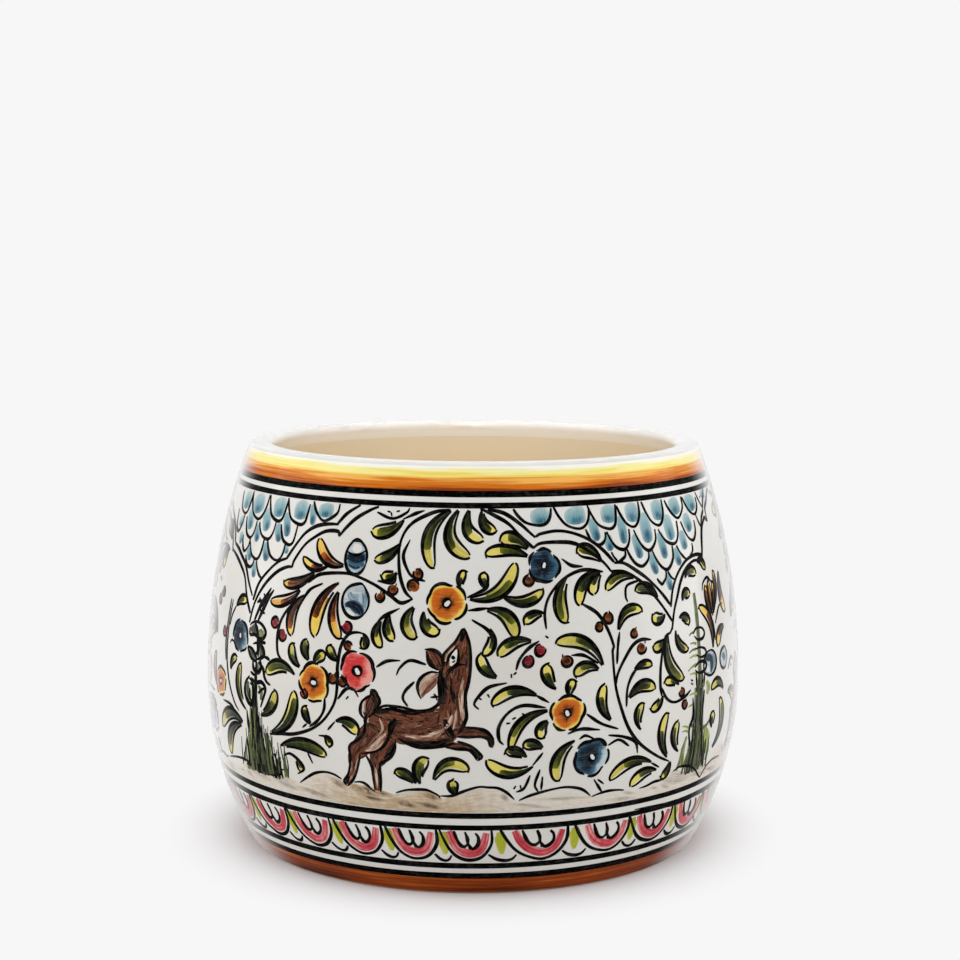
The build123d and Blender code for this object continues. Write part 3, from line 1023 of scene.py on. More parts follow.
# %% Leaves of the front: base, tip, how they bow and how wide they are
CROWN_LEAVES = [
    (-8, 125.5, -13.5, 108, -0.24, 4.5), (-5.5, 125.5, -1.5, 111.4, -0.33, 4.5),
    (-1.5, 125.6, 3.2, 116.7, -0.3, 4.0), (3, 125.4, 7.6, 119.4, -0.25, 3.4),
    (-25, 122.6, -36.3, 118.4, 0.12, 4.4), (-25.5, 115, -34, 109.4, 0.1, 3.0),
    (-26, 106.2, -31, 104.7, 0.1, 3.2), (-30.5, 91.1, -30, 82.9, -0.2, 3.2),
    (-27.5, 93.1, -25.8, 85.1, -0.15, 3.3), (-19.7, 95.5, -18.5, 86.2, -0.27, 4.0),
    (-15.8, 94.3, -11, 88.3, -0.25, 4.0), (-4, 101.9, -3, 107.3, 0.1, 2.5),
]
RIGHT_LEAVES = [
    (-1.1, 98.7, 13.8, 109.3, -0.2, 4.5), (3.9, 101.9, 3.2, 106.8, 0.02, 3.0),
    (9.8, 99.4, 23.2, 100.9, -0.18, 3.5), (4.4, 95.4, 13.3, 87.1, 0.22, 4.5),
    (5.2, 89.4, 3.2, 81.4, 0.2, 3.0), (7.4, 74.3, 2.4, 81.5, 0.15, 3.5),
    (18.8, 85.3, 7.9, 81, -0.15, 4.0), (23.2, 93.7, 16.5, 91, -0.12, 3.2),
    (18.4, 113.8, 9.4, 117, -0.15, 4.5), (18.1, 111.6, 4, 112.5, -0.1, 3.5),
    (44.8, 109.1, 35.9, 112.7, -0.12, 4.5), (32, 104.8, 30.5, 90.7, -0.17, 4.5),
    (43.4, 105.7, 35.5, 95.8, -0.2, 4.0), (44.3, 104.7, 40.7, 98.7, -0.15, 4.0),
    (57.2, 103, 46, 99.8, -0.18, 3.5), (67.2, 95.4, 57.8, 98.7, -0.18, 3.5),
    (49.4, 87.2, 59.8, 92.4, 0.25, 3.5), (69.6, 89.9, 63.7, 90, 0.2, 4.0),
    (70.2, 82.9, 77.1, 67.9, -0.2, 4.5), (74.7, 83.9, 80.5, 76.8, -0.2, 3.0),
    (69.3, 82, 63.4, 79.6, 0.12, 3.5), (74.5, 65.9, 68, 68.3, -0.12, 3.0),
    (55.1, 73.7, 62.1, 74.6, 0.1, 2.6), (52.7, 64.9, 63.4, 67.1, 0.2, 4.0),
    (57.5, 54.1, 58.2, 62.6, 0.2, 3.0), (66.6, 63.8, 61.6, 59.8, 0.12, 3.0),
    (70.3, 42.9, 69.3, 57.6, 0.19, 3.5), (75.8, 43.8, 74.6, 53.9, 0.2, 3.5),
    (62.9, 42, 46.4, 38.7, -0.18, 3.8), (65.4, 38.8, 54.9, 35.4, -0.15, 4.0),
    (71.8, 40.9, 68.9, 35.5, 0.1, 2.8),
]
MIDDLE_LEAVES = [
    (19.8, 68.5, 6.2, 66, -0.19, 3.5), (23.6, 63.1, 12, 51.6, -0.2, 3.0),
    (23.7, 60, 21.9, 54.6, -0.2, 3.5), (21.9, 51.5, 15.9, 52.3, -0.12, 3.3),
    (16.8, 48.5, 10.5, 50.8, -0.12, 3.2), (19, 46, 4.6, 48, 0.2, 4.0), (33, 52.9, 27.5, 40.4, -0.2, 4.5),
    (26.8, 70.5, 23.3, 78, 0.12, 4.0), (30.8, 67.4, 32.8, 72.4, 0.1, 3.0),
    (41.3, 75.2, 32.7, 73.9, -0.2, 3.8), (42.9, 76.4, 26.8, 84.5, -0.2, 4.2),
    (45.7, 58.8, 43.4, 70, 0.18, 3.5),
]
LEFT_LEAVES = [
    (-36.7, 86.5, -36.2, 82, 0.15, 2.8), (-56.4, 76.3, -57.6, 82.5, 0.18, 3.2),
    (-54.1, 75.3, -50.1, 78.9, 0.12, 3.5), (-60, 73.7, -63.4, 80.6, 0.18, 3.0),
    (-45.1, 77.4, -48.6, 81.9, 0.12, 3.0), (-55.1, 55.8, -57.6, 61.3, 0.12, 2.6),
    (-45.1, 57.9, -37.6, 54.5, 0.2, 4.0), (-49.6, 52.4, -47.6, 49.4, 0.1, 2.4),
    (-68.4, 46.4, -49.6, 46.1, 0.12, 4.2), (-62, 42.6, -60, 39.1, 0.1, 2.6),
    (-72.4, 50.3, -62.2, 65.2, -0.18, 4.5), (-62.4, 70.6, -75.5, 69.5, -0.2, 4.5),
    (-78, 55, -70.8, 64.2, -0.15, 4.0), (-18.3, 39.8, -25, 43.2, -0.12, 3.2),
    (-16.8, 39.8, -14.3, 48.3, 0.2, 4.2), (-12.3, 41.4, -1.4, 45, 0.3, 4.2),
    (-5.4, 36.4, -5.9, 41.4, 0.1, 3.3),
]
AMBER_LEAVES = [
    (-45.7, 107.2, -57, 114.7, 0.18, 4.0), (-52.2, 106.7, -63, 108.2, 0.15, 2.6),
    (-57.3, 104.1, -70.4, 99.2, 0.1, 3.3), (-62.6, 97.9, -75.8, 92.7, 0.1, 3.5),
    (-60.1, 96.5, -64.5, 83.7, -0.18, 4.0), (-46.7, 101.3, -54.7, 84.2, -0.15, 5.0),
    (-46.4, 98.8, -44.7, 84.8, -0.15, 4.0),
]
LEAF_BUNCHES = (CROWN_LEAVES, RIGHT_LEAVES, MIDDLE_LEAVES, LEFT_LEAVES, AMBER_LEAVES)
print("leaves:", sum(len(bunch) for bunch in LEAF_BUNCHES))

# %% Stems and curls of the front
CROWN_STEMS = [
    [(-35, 124.1), (-29, 122.7), (-24, 124.5), (-23, 126)], [(-17.5, 125.4), (-21, 124.3), (-25, 122.6)],
    [(-8.5, 126), (-15, 124.5), (-22, 121), (-25.5, 115.1), (-25, 106.9), (-22.7, 100.8), (-20, 98.3)],
    [(-59.3, 100.5), (-54.6, 103.5), (-44.8, 104.6), (-39, 104), (-32.5, 101.7), (-27.5, 99),
     (-23.8, 96.8), (-20, 98.3)],
    [(-32.3, 103.4), (-27, 103.1), (-26, 106.2)], [(-24, 95.2), (-30, 92.1), (-32.5, 88.6)],
    [(-22.2, 116.3), (-23.8, 111.6), (-22, 106.7), (-20, 105), (-16, 103.8)],
]
RIGHT_STEMS = [
    [(-1.7, 95.2), (5, 95.9)], [(-2, 98.9), (3.9, 101.9), (4.9, 104.4)],
    [(-0.5, 92.4), (4.9, 88.9), (5.9, 85.4)], [(21.3, 85.5), (17.8, 83.5), (14.8, 80), (13.3, 76.4)],
    [(30, 110.2), (33.5, 108.2), (37.9, 107.7)],
    [(45, 105.8), (37.5, 106.5), (30.5, 104), (25.6, 99.6), (23.4, 94.4), (23.7, 89)],
    [(71.6, 40.8), (64.8, 44), (57.8, 49.1), (52.8, 54.9), (49.4, 62.3), (47.3, 70.3), (46.8, 80.3),
     (47.1, 82.3), (45.1, 88), (41.9, 93), (36.1, 96.3)],
    [(48.3, 76.2), (48.8, 82.2), (50, 86.2)], [(59.8, 101.7), (54.3, 100.5), (53.3, 97), (54, 95.5)],
    [(62.6, 82.6), (58.5, 83.1), (55.2, 81.7), (52.1, 78.9), (48.6, 73.3), (47.4, 68.3)],
    [(72.9, 86.1), (71.7, 83.9), (68.8, 82), (66.4, 74), (66, 67.5), (66.6, 63.5)],
    [(66.5, 66.5), (69, 62.5), (73, 60.9), (78.3, 62), (81.2, 63.5)],
    [(51.5, 62.2), (51.9, 67.7), (53.6, 71.7), (56.6, 74.6)], [(44.9, 50.3), (48.8, 51.8), (53, 49.2)],
    [(44.9, 53.8), (49.8, 52.5), (55.3, 50.2), (56.8, 46.1)], [(62.9, 42), (66.9, 39.8)],
]
MIDDLE_STEMS = [
    [(24.2, 66.1), (19.8, 68.5)], [(10.6, 72.7), (5, 71.5), (1.5, 68.5), (0.3, 66), (2, 64.2)],
    [(23.1, 64.5), (15.9, 65.5), (11, 63.2), (8.3, 58.7), (8.2, 54.8), (9.6, 53)], [(22.2, 50), (19, 46)],
    [(18.5, 43), (16.5, 38.5), (14, 37.2)], [(21.5, 44.5), (19.9, 39.5), (21.2, 37)],
    [(22.4, 42), (22.2, 37.4)], [(30.4, 55.4), (34.9, 56.6), (41.5, 55.8)],
    [(34.4, 53.4), (36.4, 54.3), (39.4, 53.1)], [(41.9, 52.3), (43.9, 50.3)],
    [(40.4, 39.3), (43.9, 34.8)], [(41.6, 39.5), (44.1, 37.6)],
    [(31.8, 80.4), (36.2, 80.1), (41.2, 77.2)], [(37.1, 61.4), (42.3, 57.8), (48.5, 55.3)],
]
LEFT_STEMS = [
    [(-73.9, 49.3), (-68.4, 50.4), (-63, 51.3), (-57.1, 53.2), (-52.6, 55.8), (-48.6, 59.4),
     (-45.6, 64.9), (-44.8, 72.4), (-44.8, 75.4), (-44.1, 82.4), (-41.7, 85.9), (-38.7, 87),
     (-36.2, 86.5)],
    [(-49.6, 64.9), (-49.9, 60.9), (-52.1, 57.3), (-55.6, 54.8)],
    [(-44.6, 65), (-41.7, 68.5), (-39.2, 69), (-37.2, 66.6)], [(-48.6, 54.6), (-45.6, 57.9)],
    [(-51.9, 52.4), (-49.1, 52.6)], [(-56.6, 46.2), (-54.6, 42.6)],
    [(-67.9, 43.3), (-64.5, 44.3), (-60.6, 42.6), (-58.9, 40.1), (-62, 38)],
    [(-62.9, 95.4), (-67.5, 90.8), (-70.3, 86.2), (-71.1, 81.2), (-69.9, 76.4), (-67.2, 74.3)],
    [(-52.9, 101), (-58, 98.5), (-61, 94.4)], [(-58.6, 54.1), (-56.6, 55.7)],
    [(-31.3, 76.7), (-27.9, 78.5), (-23.4, 79)], [(-24.4, 74.4), (-23.4, 76.9), (-20, 79), (-15, 78.2)],
    [(-18.4, 72.7), (-21.6, 69.9), (-22.2, 66.9), (-20.7, 64.7)],
]
TICKS = [
    (-30.5, 124.5), (-29.3, 123.9), (-27, 124.9), (13, 75.4), (12, 74.6), (23.7, 86.5), (36.5, 96.4),
    (39, 94.9), (40.5, 93.9), (82, 65.3), (82, 66.5), (2, 67.8), (4.7, 68.7), (11.3, 59.8), (13, 61.5),
    (16, 62.5), (13.5, 39), (15.3, 39), (-41, 66),
]
STEM_BUNCHES = (CROWN_STEMS, RIGHT_STEMS, MIDDLE_STEMS, LEFT_STEMS)
print("stems:", sum(len(bunch) for bunch in STEM_BUNCHES), "and ticks:", len(TICKS))

# %% Blossoms, buds and berries of the front
BLOSSOMS = [
    (-8.8, 97.4, 6.0, "amber"), (30.4, 62.1, 5.4, "amber"), (-53.9, 69.3, 5.8, "amber"),
    (-38.1, 74.9, 5.8, "red", 0.4), (23.8, 108.5, 5.0, "blue", 0.2), (39.2, 47.1, 5.8, "blue", 0.75),
]
# A bud's middle, half-sizes and tip, its strokes, and the lines drawn on it
CAPPED_BUD = (
    (-41.2, 109.9, 4.1, 5.2, 1.6),
    [
        (0.0, [(-0.4, 0.6, 0.2), (0.0, 0.55, 0.4), (0.45, 0.6, 0.2)]),
        (0.6, [(-0.82, -0.3, 0.2), (0.0, -0.46, 0.3), (0.82, -0.26, 0.24)]),
        (0.98, [(-0.92, 0.06, 0.24), (-0.2, -0.1, 0.36), (0.4, -0.04, 0.36), (0.92, 0.12, 0.28)]),
        (0.85, [(-0.7, -0.42, 0.1), (0.0, -0.6, 0.14), (0.5, -0.5, 0.1)]),
    ],
    [
        [(-0.85, 0.3), (-0.3, 0.16), (0.3, 0.2), (0.85, 0.44)],
        [(-0.7, 0.7), (-0.3, 0.95), (0.3, 0.98), (0.7, 0.7)],
    ],
)
POINTED_BUD = (
    (-40.0, 96.4, 4.9, 5.2, 1.2),
    [
        (0.34, [(0.55, 0.6, 0.14), (0.7, 0.1, 0.22), (0.6, -0.4, 0.16)]),
        (0.3, [(-0.5, 0.5, 0.14), (-0.3, 0.2, 0.3), (0.2, 0.1, 0.36)]),
        (0.0, [(-0.6, -0.6, 0.12), (-0.3, -0.78, 0.2), (0.0, -0.88, 0.12)]),
        (0.98, [
            (-0.78, -0.3, 0.12), (-0.4, -0.2, 0.26), (0.05, -0.3, 0.4), (0.42, -0.6, 0.34),
            (0.4, -0.84, 0.14),
        ]),
    ],
    [],
)
BROWN_BERRIES = [
    (-18.7, 105.8), (-19.8, 102.3), (-26.6, 100.7), (-31.3, 98.6), (42.3, 88.5), (45.8, 91), (55.8, 85.2),
    (58.3, 80.2), (76.4, 63.2), (77.8, 59.2), (-46.7, 71.7), (-43, 71), (-41.4, 82.1),
]
RED_BERRIES = [(21.8, 82.4), (17.5, 79.2), (-58, 65.3), (-42.1, 88), (-72.7, 86.3), (-68.4, 82.9)]
DARK_BERRIES = [(18.2, 104.2), (30.5, 78.8)]
BERRY_SIZES = (1.35, 1.9)
BERRIES = ((BROWN_BERRIES, "amber", 0.92), (RED_BERRIES, "red", 0.98), (DARK_BERRIES, "amber", 1.0))
print("blossoms:", len(BLOSSOMS), "and berries:", sum(len(places) for places, _, _ in BERRIES))

# %% All the greenery of one side
def greenery(panel, from_x, to_x, flowers_from):
    """The leaves and stems between two places in the drawing, the flowers and berries from a third one on."""
    def within(*places):
        return from_x < min(places) and max(places) < to_x

    for bunch in LEAF_BUNCHES:
        for entry in bunch:
            if within(entry[0], entry[2]):
                leaf(panel, *entry, pigment="amber" if bunch is AMBER_LEAVES else "leaf")
    for bunch in STEM_BUNCHES:
        for line in bunch:
            if within(*[point[0] for point in line]):
                ink_line(panel, line)
    for place in TICKS:
        if within(place[0]):
            tick(panel, panel.place([place])[0], turn=panel.chance.uniform(0, 3.1))
    for entry in BLOSSOMS:
        if within(entry[0]) and entry[0] > flowers_from:
            blossom(panel, *entry)
    for shape, strokes, lines in (CAPPED_BUD, POINTED_BUD):
        if not within(shape[0]) or shape[0] < flowers_from:
            continue
        bud(panel, *shape, strokes)
        x, z, wide, tall = shape[:4]
        for line in lines:
            ink_line(panel, [(x + wide * across, z + tall * up) for across, up in line], BUD_LINE)
    for places, pigment, deep in BERRIES:
        for place in places:
            if within(place[0]) and place[0] > flowers_from:
                berry(panel, *place, panel.chance.uniform(*BERRY_SIZES), pigment, deep)


# %% What shows of the neighbouring sides, left and right of the front
EDGE_LEAVES = [
    (-97, 88.5, -90, 91, 0.16, 3.2), (-97.9, 67, -93.8, 71.6, 0.2, 2.8),
    (-87, 55.4, -90.6, 69.6, 0.2, 3.6), (-89.3, 50.7, -106.6, 45.7, -0.2, 4.6),
    (-90.5, 49.4, -101.4, 37.2, -0.2, 4.4), (83, 99.8, 90, 100.4, 0.22, 3.4),
    (92, 104.3, 97.2, 100.9, 0.22, 3.0), (80, 92.9, 84.2, 94.8, 0.24, 3.4), (77, 87.6, 82, 85, 0.22, 3.2),
    (105, 59.6, 95, 61.4, -0.22, 3.2), (96.4, 48, 96.6, 53.2, 0.1, 3.6),
    (98.5, 40.5, 102, 56.6, -0.24, 4.0),
]
EDGE_AMBER_LEAVES = [
    (96.7, 75, 89.2, 89.8, -0.2, 3.6), (98.4, 84, 95.4, 95.6, 0.06, 2.8),
    (98.9, 85.4, 98.2, 97, 0.04, 2.6), (99.3, 86, 101.6, 96.4, -0.08, 2.6),
    (100.2, 87.6, 103.8, 99.6, -0.1, 2.8), (108, 80.6, 101, 75, -0.2, 4.0),
]
EDGE_STEMS = [
    [(-97, 88.4), (-99.6, 85.2), (-100.9, 81.4)], [(-99.6, 75.4), (-98.5, 76.6), (-96.4, 76.4)],
    [(-100.4, 90), (-101.6, 82), (-102, 75), (-101.4, 69), (-99, 62), (-95, 56.5), (-91.8, 53.8)],
    [(-101.8, 90), (-103, 82), (-103.4, 75), (-102.8, 69)], [(-104.5, 55), (-98, 54.6), (-93.2, 52.8)],
    [(92.7, 94.6), (94, 97), (97.4, 98.4), (100, 97), (101.6, 95.4)], [(98.4, 84), (99, 80), (99.2, 77)],
    [(100.4, 82.4), (102.4, 85.6), (105.4, 87.6), (109, 88)],
]
EDGE_BERRY = (-104.9, 78.6, 1.8)
EDGE_BLOSSOMS = [(-92.1, 79, 5.0, "blue", 0.55), (-107.2, 61.2, 4.8, "amber")]
EDGE_BUDS = [
    ((94.2, 70.4, 4.7, 4.2, 3.6), [
        (0.3, [(0.2, 0.5, 0.2), (0.6, 0.1, 0.3), (0.3, -0.5, 0.2)]),
        (0.0, [(-0.7, -0.1, 0.2), (-0.5, -0.4, 0.24), (-0.2, -0.6, 0.1)]),
        (0.95, [(-0.9, 0.5, 0.14), (-0.4, 0.5, 0.3), (0.1, 0.3, 0.3), (0.2, -0.3, 0.26), (0.0, -0.8, 0.12)]),
    ]),
    ((106.2, 69.6, 3.6, 3.5, 1.2), [(0.5, [(-0.5, 0.3, 0.2), (0.0, 0.2, 0.4), (0.5, -0.2, 0.3)])]),
]

# %% Painting what shows of the neighbours
def edges(panel):
    """The nearest leaves and flowers of the two neighbours, which the photograph shows foreshortened."""
    for bunch in (EDGE_LEAVES, EDGE_AMBER_LEAVES):
        for entry in bunch:
            leaf(panel, *entry, pigment="amber" if bunch is EDGE_AMBER_LEAVES else "leaf")
    for line in EDGE_STEMS:
        ink_line(panel, line, EDGE_LINE)
    for entry in EDGE_BLOSSOMS:
        blossom(panel, *entry)
    for shape, strokes in EDGE_BUDS:
        bud(panel, *shape, strokes)
    berry(panel, *EDGE_BERRY, "red")


# %% [markdown]
# ## The hind
# The hind is brushed in with a few loaded strokes of brown, each as wide as the limb it makes, and is then
# drawn over with the point. A body stroke gives place and half-width together, so the limb swells and thins
# as it flows.

# %% Body strokes of the hind: place and half-width
HIND_STROKES = [
    [(-33.5, 59.8, 2.2), (-28, 58.9, 4.8), (-22, 58.3, 5.6), (-15, 57.7, 5.9), (-9, 58.6, 6.2),
     (-4.3, 59, 3.0)],
    [(-7.6, 57.5, 4.4), (-6.5, 64, 4.0), (-6.4, 70, 4.1), (-5.7, 76, 4.4), (-4.1, 81.5, 3.0),
     (-3.1, 85.5, 2.0), (-3.1, 89, 0.5)],
    [(-5.2, 57.3, 1.9), (0, 57.1, 1.5), (4, 56, 1.3), (5.8, 53.8, 0.8), (5.5, 52.3, 0.5)],
    [(-8, 53.2, 1.4), (-3, 52.5, 1.0), (0.3, 51.2, 1.0), (1.8, 49.6, 0.95), (1.9, 48.2, 0.6)],
    [(-27.5, 55.4, 3.0), (-28.6, 51.3, 3.4), (-30.6, 47.8, 3.0), (-31.4, 44.2, 1.3), (-31.3, 40.1, 1.15),
     (-31.3, 36.4, 1.0)],
    [(-32, 58.4, 3.0), (-33.3, 54.2, 3.6), (-36.2, 50.8, 3.2), (-38.7, 47.4, 1.9), (-39.4, 43.4, 1.4),
     (-41, 40, 1.0), (-42.6, 37.7, 0.8)],
    [(-33.8, 60, 1.2), (-33.6, 62.4, 2.2), (-32.8, 65.2, 2.5), (-32, 67.5, 1.5), (-32.6, 69, 0.5)],
    [(-10.4, 77, 1.2), (-12.2, 79.4, 2.5), (-13.6, 81.4, 1.7), (-14.8, 82.4, 0.5)],
]
HIND_EAR = [[(-10.9, 75.2, 1.2), (-13.8, 73, 2.4), (-15.9, 70.2, 1.9), (-16.4, 67.8, 0.5)]]
EAR_STREAK = [[(-11.6, 73.8, 0.3), (-14, 70.9, 0.6), (-16.2, 68.2, 0.3)]]
HIND_EYE = [[(-7.1, 78, 0.4), (-6.4, 80.4, 1.3), (-5.3, 83.1, 0.35)]]
HIND_PUPIL = [[(-7, 80.8, 0.4), (-6.4, 80.5, 0.7), (-6, 80, 0.4)]]
print("hind:", len(HIND_STROKES), "body strokes")

# %% Lines, lights and darks of the hind
HIND_LINES = [
    [(-33.4, 60.5), (-31.5, 62.5), (-29, 64.2), (-25.5, 64.7), (-22, 64.3), (-18, 63.6), (-14, 63.9),
     (-12, 64.8), (-10.6, 66.2), (-10.4, 69), (-10.7, 73), (-10.3, 76.6)],
    [(-9.7, 76.6), (-9.5, 79), (-9.5, 81.2), (-7.5, 83.5), (-5.5, 85.6), (-4.5, 87.5), (-3.1, 89.4),
     (-1.7, 86.6), (-1.2, 84), (-0.9, 80), (-0.9, 76), (-1.8, 72.5), (-2.5, 69), (-2.5, 66), (-2.1, 62),
     (-2.3, 60.4), (-3.6, 58), (-5, 56.4)],
    [(-8.6, 77.6), (-7.6, 81), (-6.2, 83), (-4.9, 84.2)],
    [(-4.9, 83.6), (-4.7, 80.6), (-5, 78.6), (-7, 77.4)],
    [(-24, 54.5), (-21, 52.8), (-17, 51.9), (-13, 51.8), (-9, 52.3), (-6, 53.7)],
    [(-2.5, 58.8), (1, 58.6), (4, 57.5), (6, 55.1), (6.2, 53.5), (5.6, 52.3)],
    [(-5, 55.7), (-1, 55.6), (2.5, 55.9), (4.5, 54.9), (5.2, 52.5)],
    [(-5, 54.2), (-2.5, 53.3), (0, 52.4), (2, 50.6), (2.8, 48.8), (1.6, 48)],
    [(-9, 52.2), (-5, 51.7), (-1.5, 51.3), (0.3, 50), (1.2, 48)],
    [(-24.5, 54), (-25, 51), (-26.5, 48), (-29, 46), (-30, 45), (-30, 41), (-30.2, 36)],
    [(-34.8, 48), (-33.3, 45.6), (-32.6, 43), (-32.3, 36.6)],
    [(-34.6, 59.4), (-35.2, 55.6), (-37, 53), (-40.4, 50.3), (-40.2, 47), (-40.5, 43), (-41.5, 40.5),
     (-43.2, 38.4), (-42.2, 37)],
    [(-36.6, 48.3), (-37.3, 45.5), (-38.5, 42), (-40, 39), (-42, 37)],
    [(-24.7, 60.8), (-26.4, 58.2), (-26.5, 55.4), (-28.5, 51.6), (-31.5, 49.5), (-36.4, 48.3)],
    [(-34.4, 59.2), (-36, 61.5), (-36.1, 64.4), (-34.5, 66.5), (-33, 67.3), (-33.2, 69.2)],
    [(-33, 69.2), (-31.6, 69), (-30.4, 67.5), (-30, 65.8), (-30.8, 64), (-32, 62.3)],
    [(-10.6, 76.7), (-13, 77.9), (-14.5, 79.6), (-15.1, 82)],
    [(-15.6, 82.7), (-13, 82.9), (-11, 81.9), (-10, 80.2), (-9.8, 78)],
    [(-10.8, 75.8), (-13.5, 75.8), (-16, 74.3), (-17.5, 71.8), (-17.3, 69), (-16.4, 67.2)],
    [(-13.2, 68.2), (-11.8, 68.2), (-10.4, 68.5)], [(-12.1, 69.4), (-11.7, 68.2), (-11.2, 67)],
    [(-7, 79.2), (-6.2, 79.2), (-5.8, 79.9)],
]
HIND_LIGHTS = [
    [(-35.4, 49.3, 0.4), (-31.8, 51.2, 1.1), (-28.6, 54.6, 0.8), (-27.4, 56.8, 0.3)],
    [(-30, 60.2, 0.2), (-29, 57.2, 0.4), (-31, 53.8, 0.2)],
    [(-23, 55.5, 0.3), (-17, 55, 0.8), (-12, 56, 0.9), (-8.4, 58.4, 0.3)],
    [(-6.4, 62.6, 0.2), (-7.2, 60.2, 0.5), (-8.6, 58, 0.2)],
    [(-3.1, 74.6, 0.3), (-3.8, 70, 0.6), (-3.5, 66, 0.9), (-3.2, 62.4, 0.8), (-4, 59.8, 0.3)],
    [(-5.2, 64, 0.2), (-5.4, 61, 0.5), (-6.2, 58, 0.2)],
    [(-8.9, 79.6, 0.3), (-7.8, 82, 0.5), (-5.8, 84.4, 0.25)],
    [(-35.2, 62, 0.3), (-35.2, 64.3, 0.6), (-34.6, 65.8, 0.3)],
    [(-31.5, 44, 0.25), (-31.3, 40.5, 0.4), (-31.3, 37, 0.3)],
    [(-37.5, 46.5, 0.2), (-39.1, 42, 0.35), (-41.4, 38.6, 0.3)],
]
HIND_DARKS = [
    [(-10, 77, 0.6), (-9.7, 73, 1.2), (-9.3, 69, 1.5), (-9.4, 65.8, 1.1)],
    [(-6.9, 74.4, 0.3), (-6.6, 70.5, 0.6), (-5.8, 66.4, 0.3)],
    [(-3.9, 85.4, 0.6), (-3.2, 87.4, 0.9), (-3.1, 88.9, 0.3)],
    [(-8.6, 74.8, 0.3), (-7.2, 76.8, 0.8), (-4.6, 78.4, 0.4), (-2.2, 78.4, 0.25)],
    [(-9, 61, 0.4), (-7.6, 57.6, 1.2), (-5.8, 55.2, 0.9)],
    [(-3.6, 61.4, 0.3), (-3.3, 59, 0.8), (-4.5, 57, 0.5)],
    [(-23, 54.2, 0.4), (-18, 53, 0.8), (-12, 53, 1.0), (-7, 54.4, 0.8)],
    [(-24.8, 60.6, 0.4), (-25.8, 58.2, 1.1), (-26.2, 55.4, 0.5)],
    [(-31, 62.4, 0.4), (-26, 63.6, 0.6), (-19, 62.9, 0.5), (-12.5, 64, 0.5)],
    [(-33, 68.6, 0.4), (-31.8, 67.2, 1.0), (-31, 65.2, 0.4)],
    [(-33.4, 61.2, 0.4), (-34.6, 59.8, 0.7), (-34.4, 57.6, 0.4)],
    [(4.4, 55.9, 0.5), (5.6, 54, 0.6), (5.5, 52.6, 0.4)],
    [(-0.6, 52, 0.5), (1.4, 50.2, 0.8), (1.9, 48.4, 0.5)],
    [(-41, 40.2, 0.4), (-42.4, 38.2, 0.5), (-42.8, 37.6, 0.3)],
    [(-24.9, 53.6, 0.5), (-26, 50.4, 0.6), (-28.4, 47.4, 0.4)],
]

# %% Strokes that swell, and fur
def brushed(panel, pigment, strokes, lift, shade, load=1.0):
    """Strokes whose third number is the half-width at each place."""
    for stroke in strokes:
        path = flow(panel.place(stroke), 0.6)
        sweep(panel.coats[pigment], path[:, :2], np.maximum(path[:, 2], 0.15), lift, shade, load)


def fur(panel, pigment, lanes, lift, thick, shades, spacing=0.9):
    """Hairs of an almost dry brush along each lane, which is given like a body stroke."""
    chance = panel.chance
    for lane in lanes:
        path = flow(panel.place(lane), 0.5)
        aside = side_steps(path[:, :2])
        count = int(len(path) * 0.5 * (path[:, 2].mean() + 0.3) / spacing)
        for number in range(count):
            length = int(min(len(path), chance.integers(6, 16)))
            begin = int(chance.integers(0, len(path) - length + 1))
            part = slice(begin, begin + length)
            start = chance.uniform(-0.92, 0.92)
            drift = np.linspace(start, np.clip(start + chance.normal(0, 0.18), -0.95, 0.95), length)
            hair = path[part, :2] + aside[part] * (drift * path[part, 2])[:, None]
            width = chance.uniform(*thick) / 2 * np.sin(np.linspace(0.5, 2.9, length))
            tone = chance.uniform(*shades)
            sweep(panel.coats[pigment], hair, width, lift + OVER * number / count, tone, 1.0, INK_ACROSS)


# %% Painting the hind
def hind(panel):
    """Body, ear and fur, light and dark strokes over them, the eye, and the lines on top."""
    def light(share, across):
        return np.clip(0.05 + 0.4 * across**2 + 1.4 * (share - 0.5) ** 2, 0, 0.52)

    brushed(panel, "hind", HIND_STROKES, FILL_LIFT, lambda s, c: np.clip(0.6 - 0.1 * c + 0.06 * s, 0, 1))
    brushed(panel, "hind", HIND_EAR, FILL_LIFT, lambda s, c: np.clip(0.3 + 0.12 * c, 0, 1))
    trunk, slender = HIND_STROKES[:2] + HIND_STROKES[4:7], HIND_STROKES[2:4] + HIND_STROKES[7:]
    fur(panel, "hind", trunk, FILL_LIFT + 0.008, thick=(0.5, 1.3), shades=(0.42, 0.95), spacing=0.55)
    fur(panel, "hind", slender, FILL_LIFT + 0.008, thick=(0.4, 0.8), shades=(0.5, 1.0), spacing=0.7)
    brushed(panel, "hind", EAR_STREAK, FILL_LIFT + 0.02, 0.62)
    brushed(panel, "hind", HIND_LIGHTS, FILL_LIFT + 0.021, light)
    fur(panel, "hind", HIND_LIGHTS, FILL_LIFT + 2 * OVER, thick=(0.35, 0.7), shades=(0.0, 0.45))
    brushed(panel, "hind", HIND_DARKS, FILL_LIFT + 0.025, lambda s, c: 1.0 - 0.3 * c**2)
    fur(panel, "ink", HIND_DARKS, INK_LIFT - 0.02, thick=(0.3, 0.7), shades=(0.5, 0.9), spacing=0.6)
    brushed(panel, "earth", HIND_EYE, INK_LIFT - 0.006, 0.0, 0.0)
    brushed(panel, "ink", HIND_PUPIL, INK_LIFT + 0.004, 0.8)
    for line in HIND_LINES:
        ink_line(panel, line, HIND_LINE)


# %% [markdown]
# ## Scales, mounds and trees
# The corners are filled with rows of hanging scales, each a U drawn with the point and touched with blue.
# The mounds are a thin earth wash under a line. The trees are scribbled with an almost dry brush.

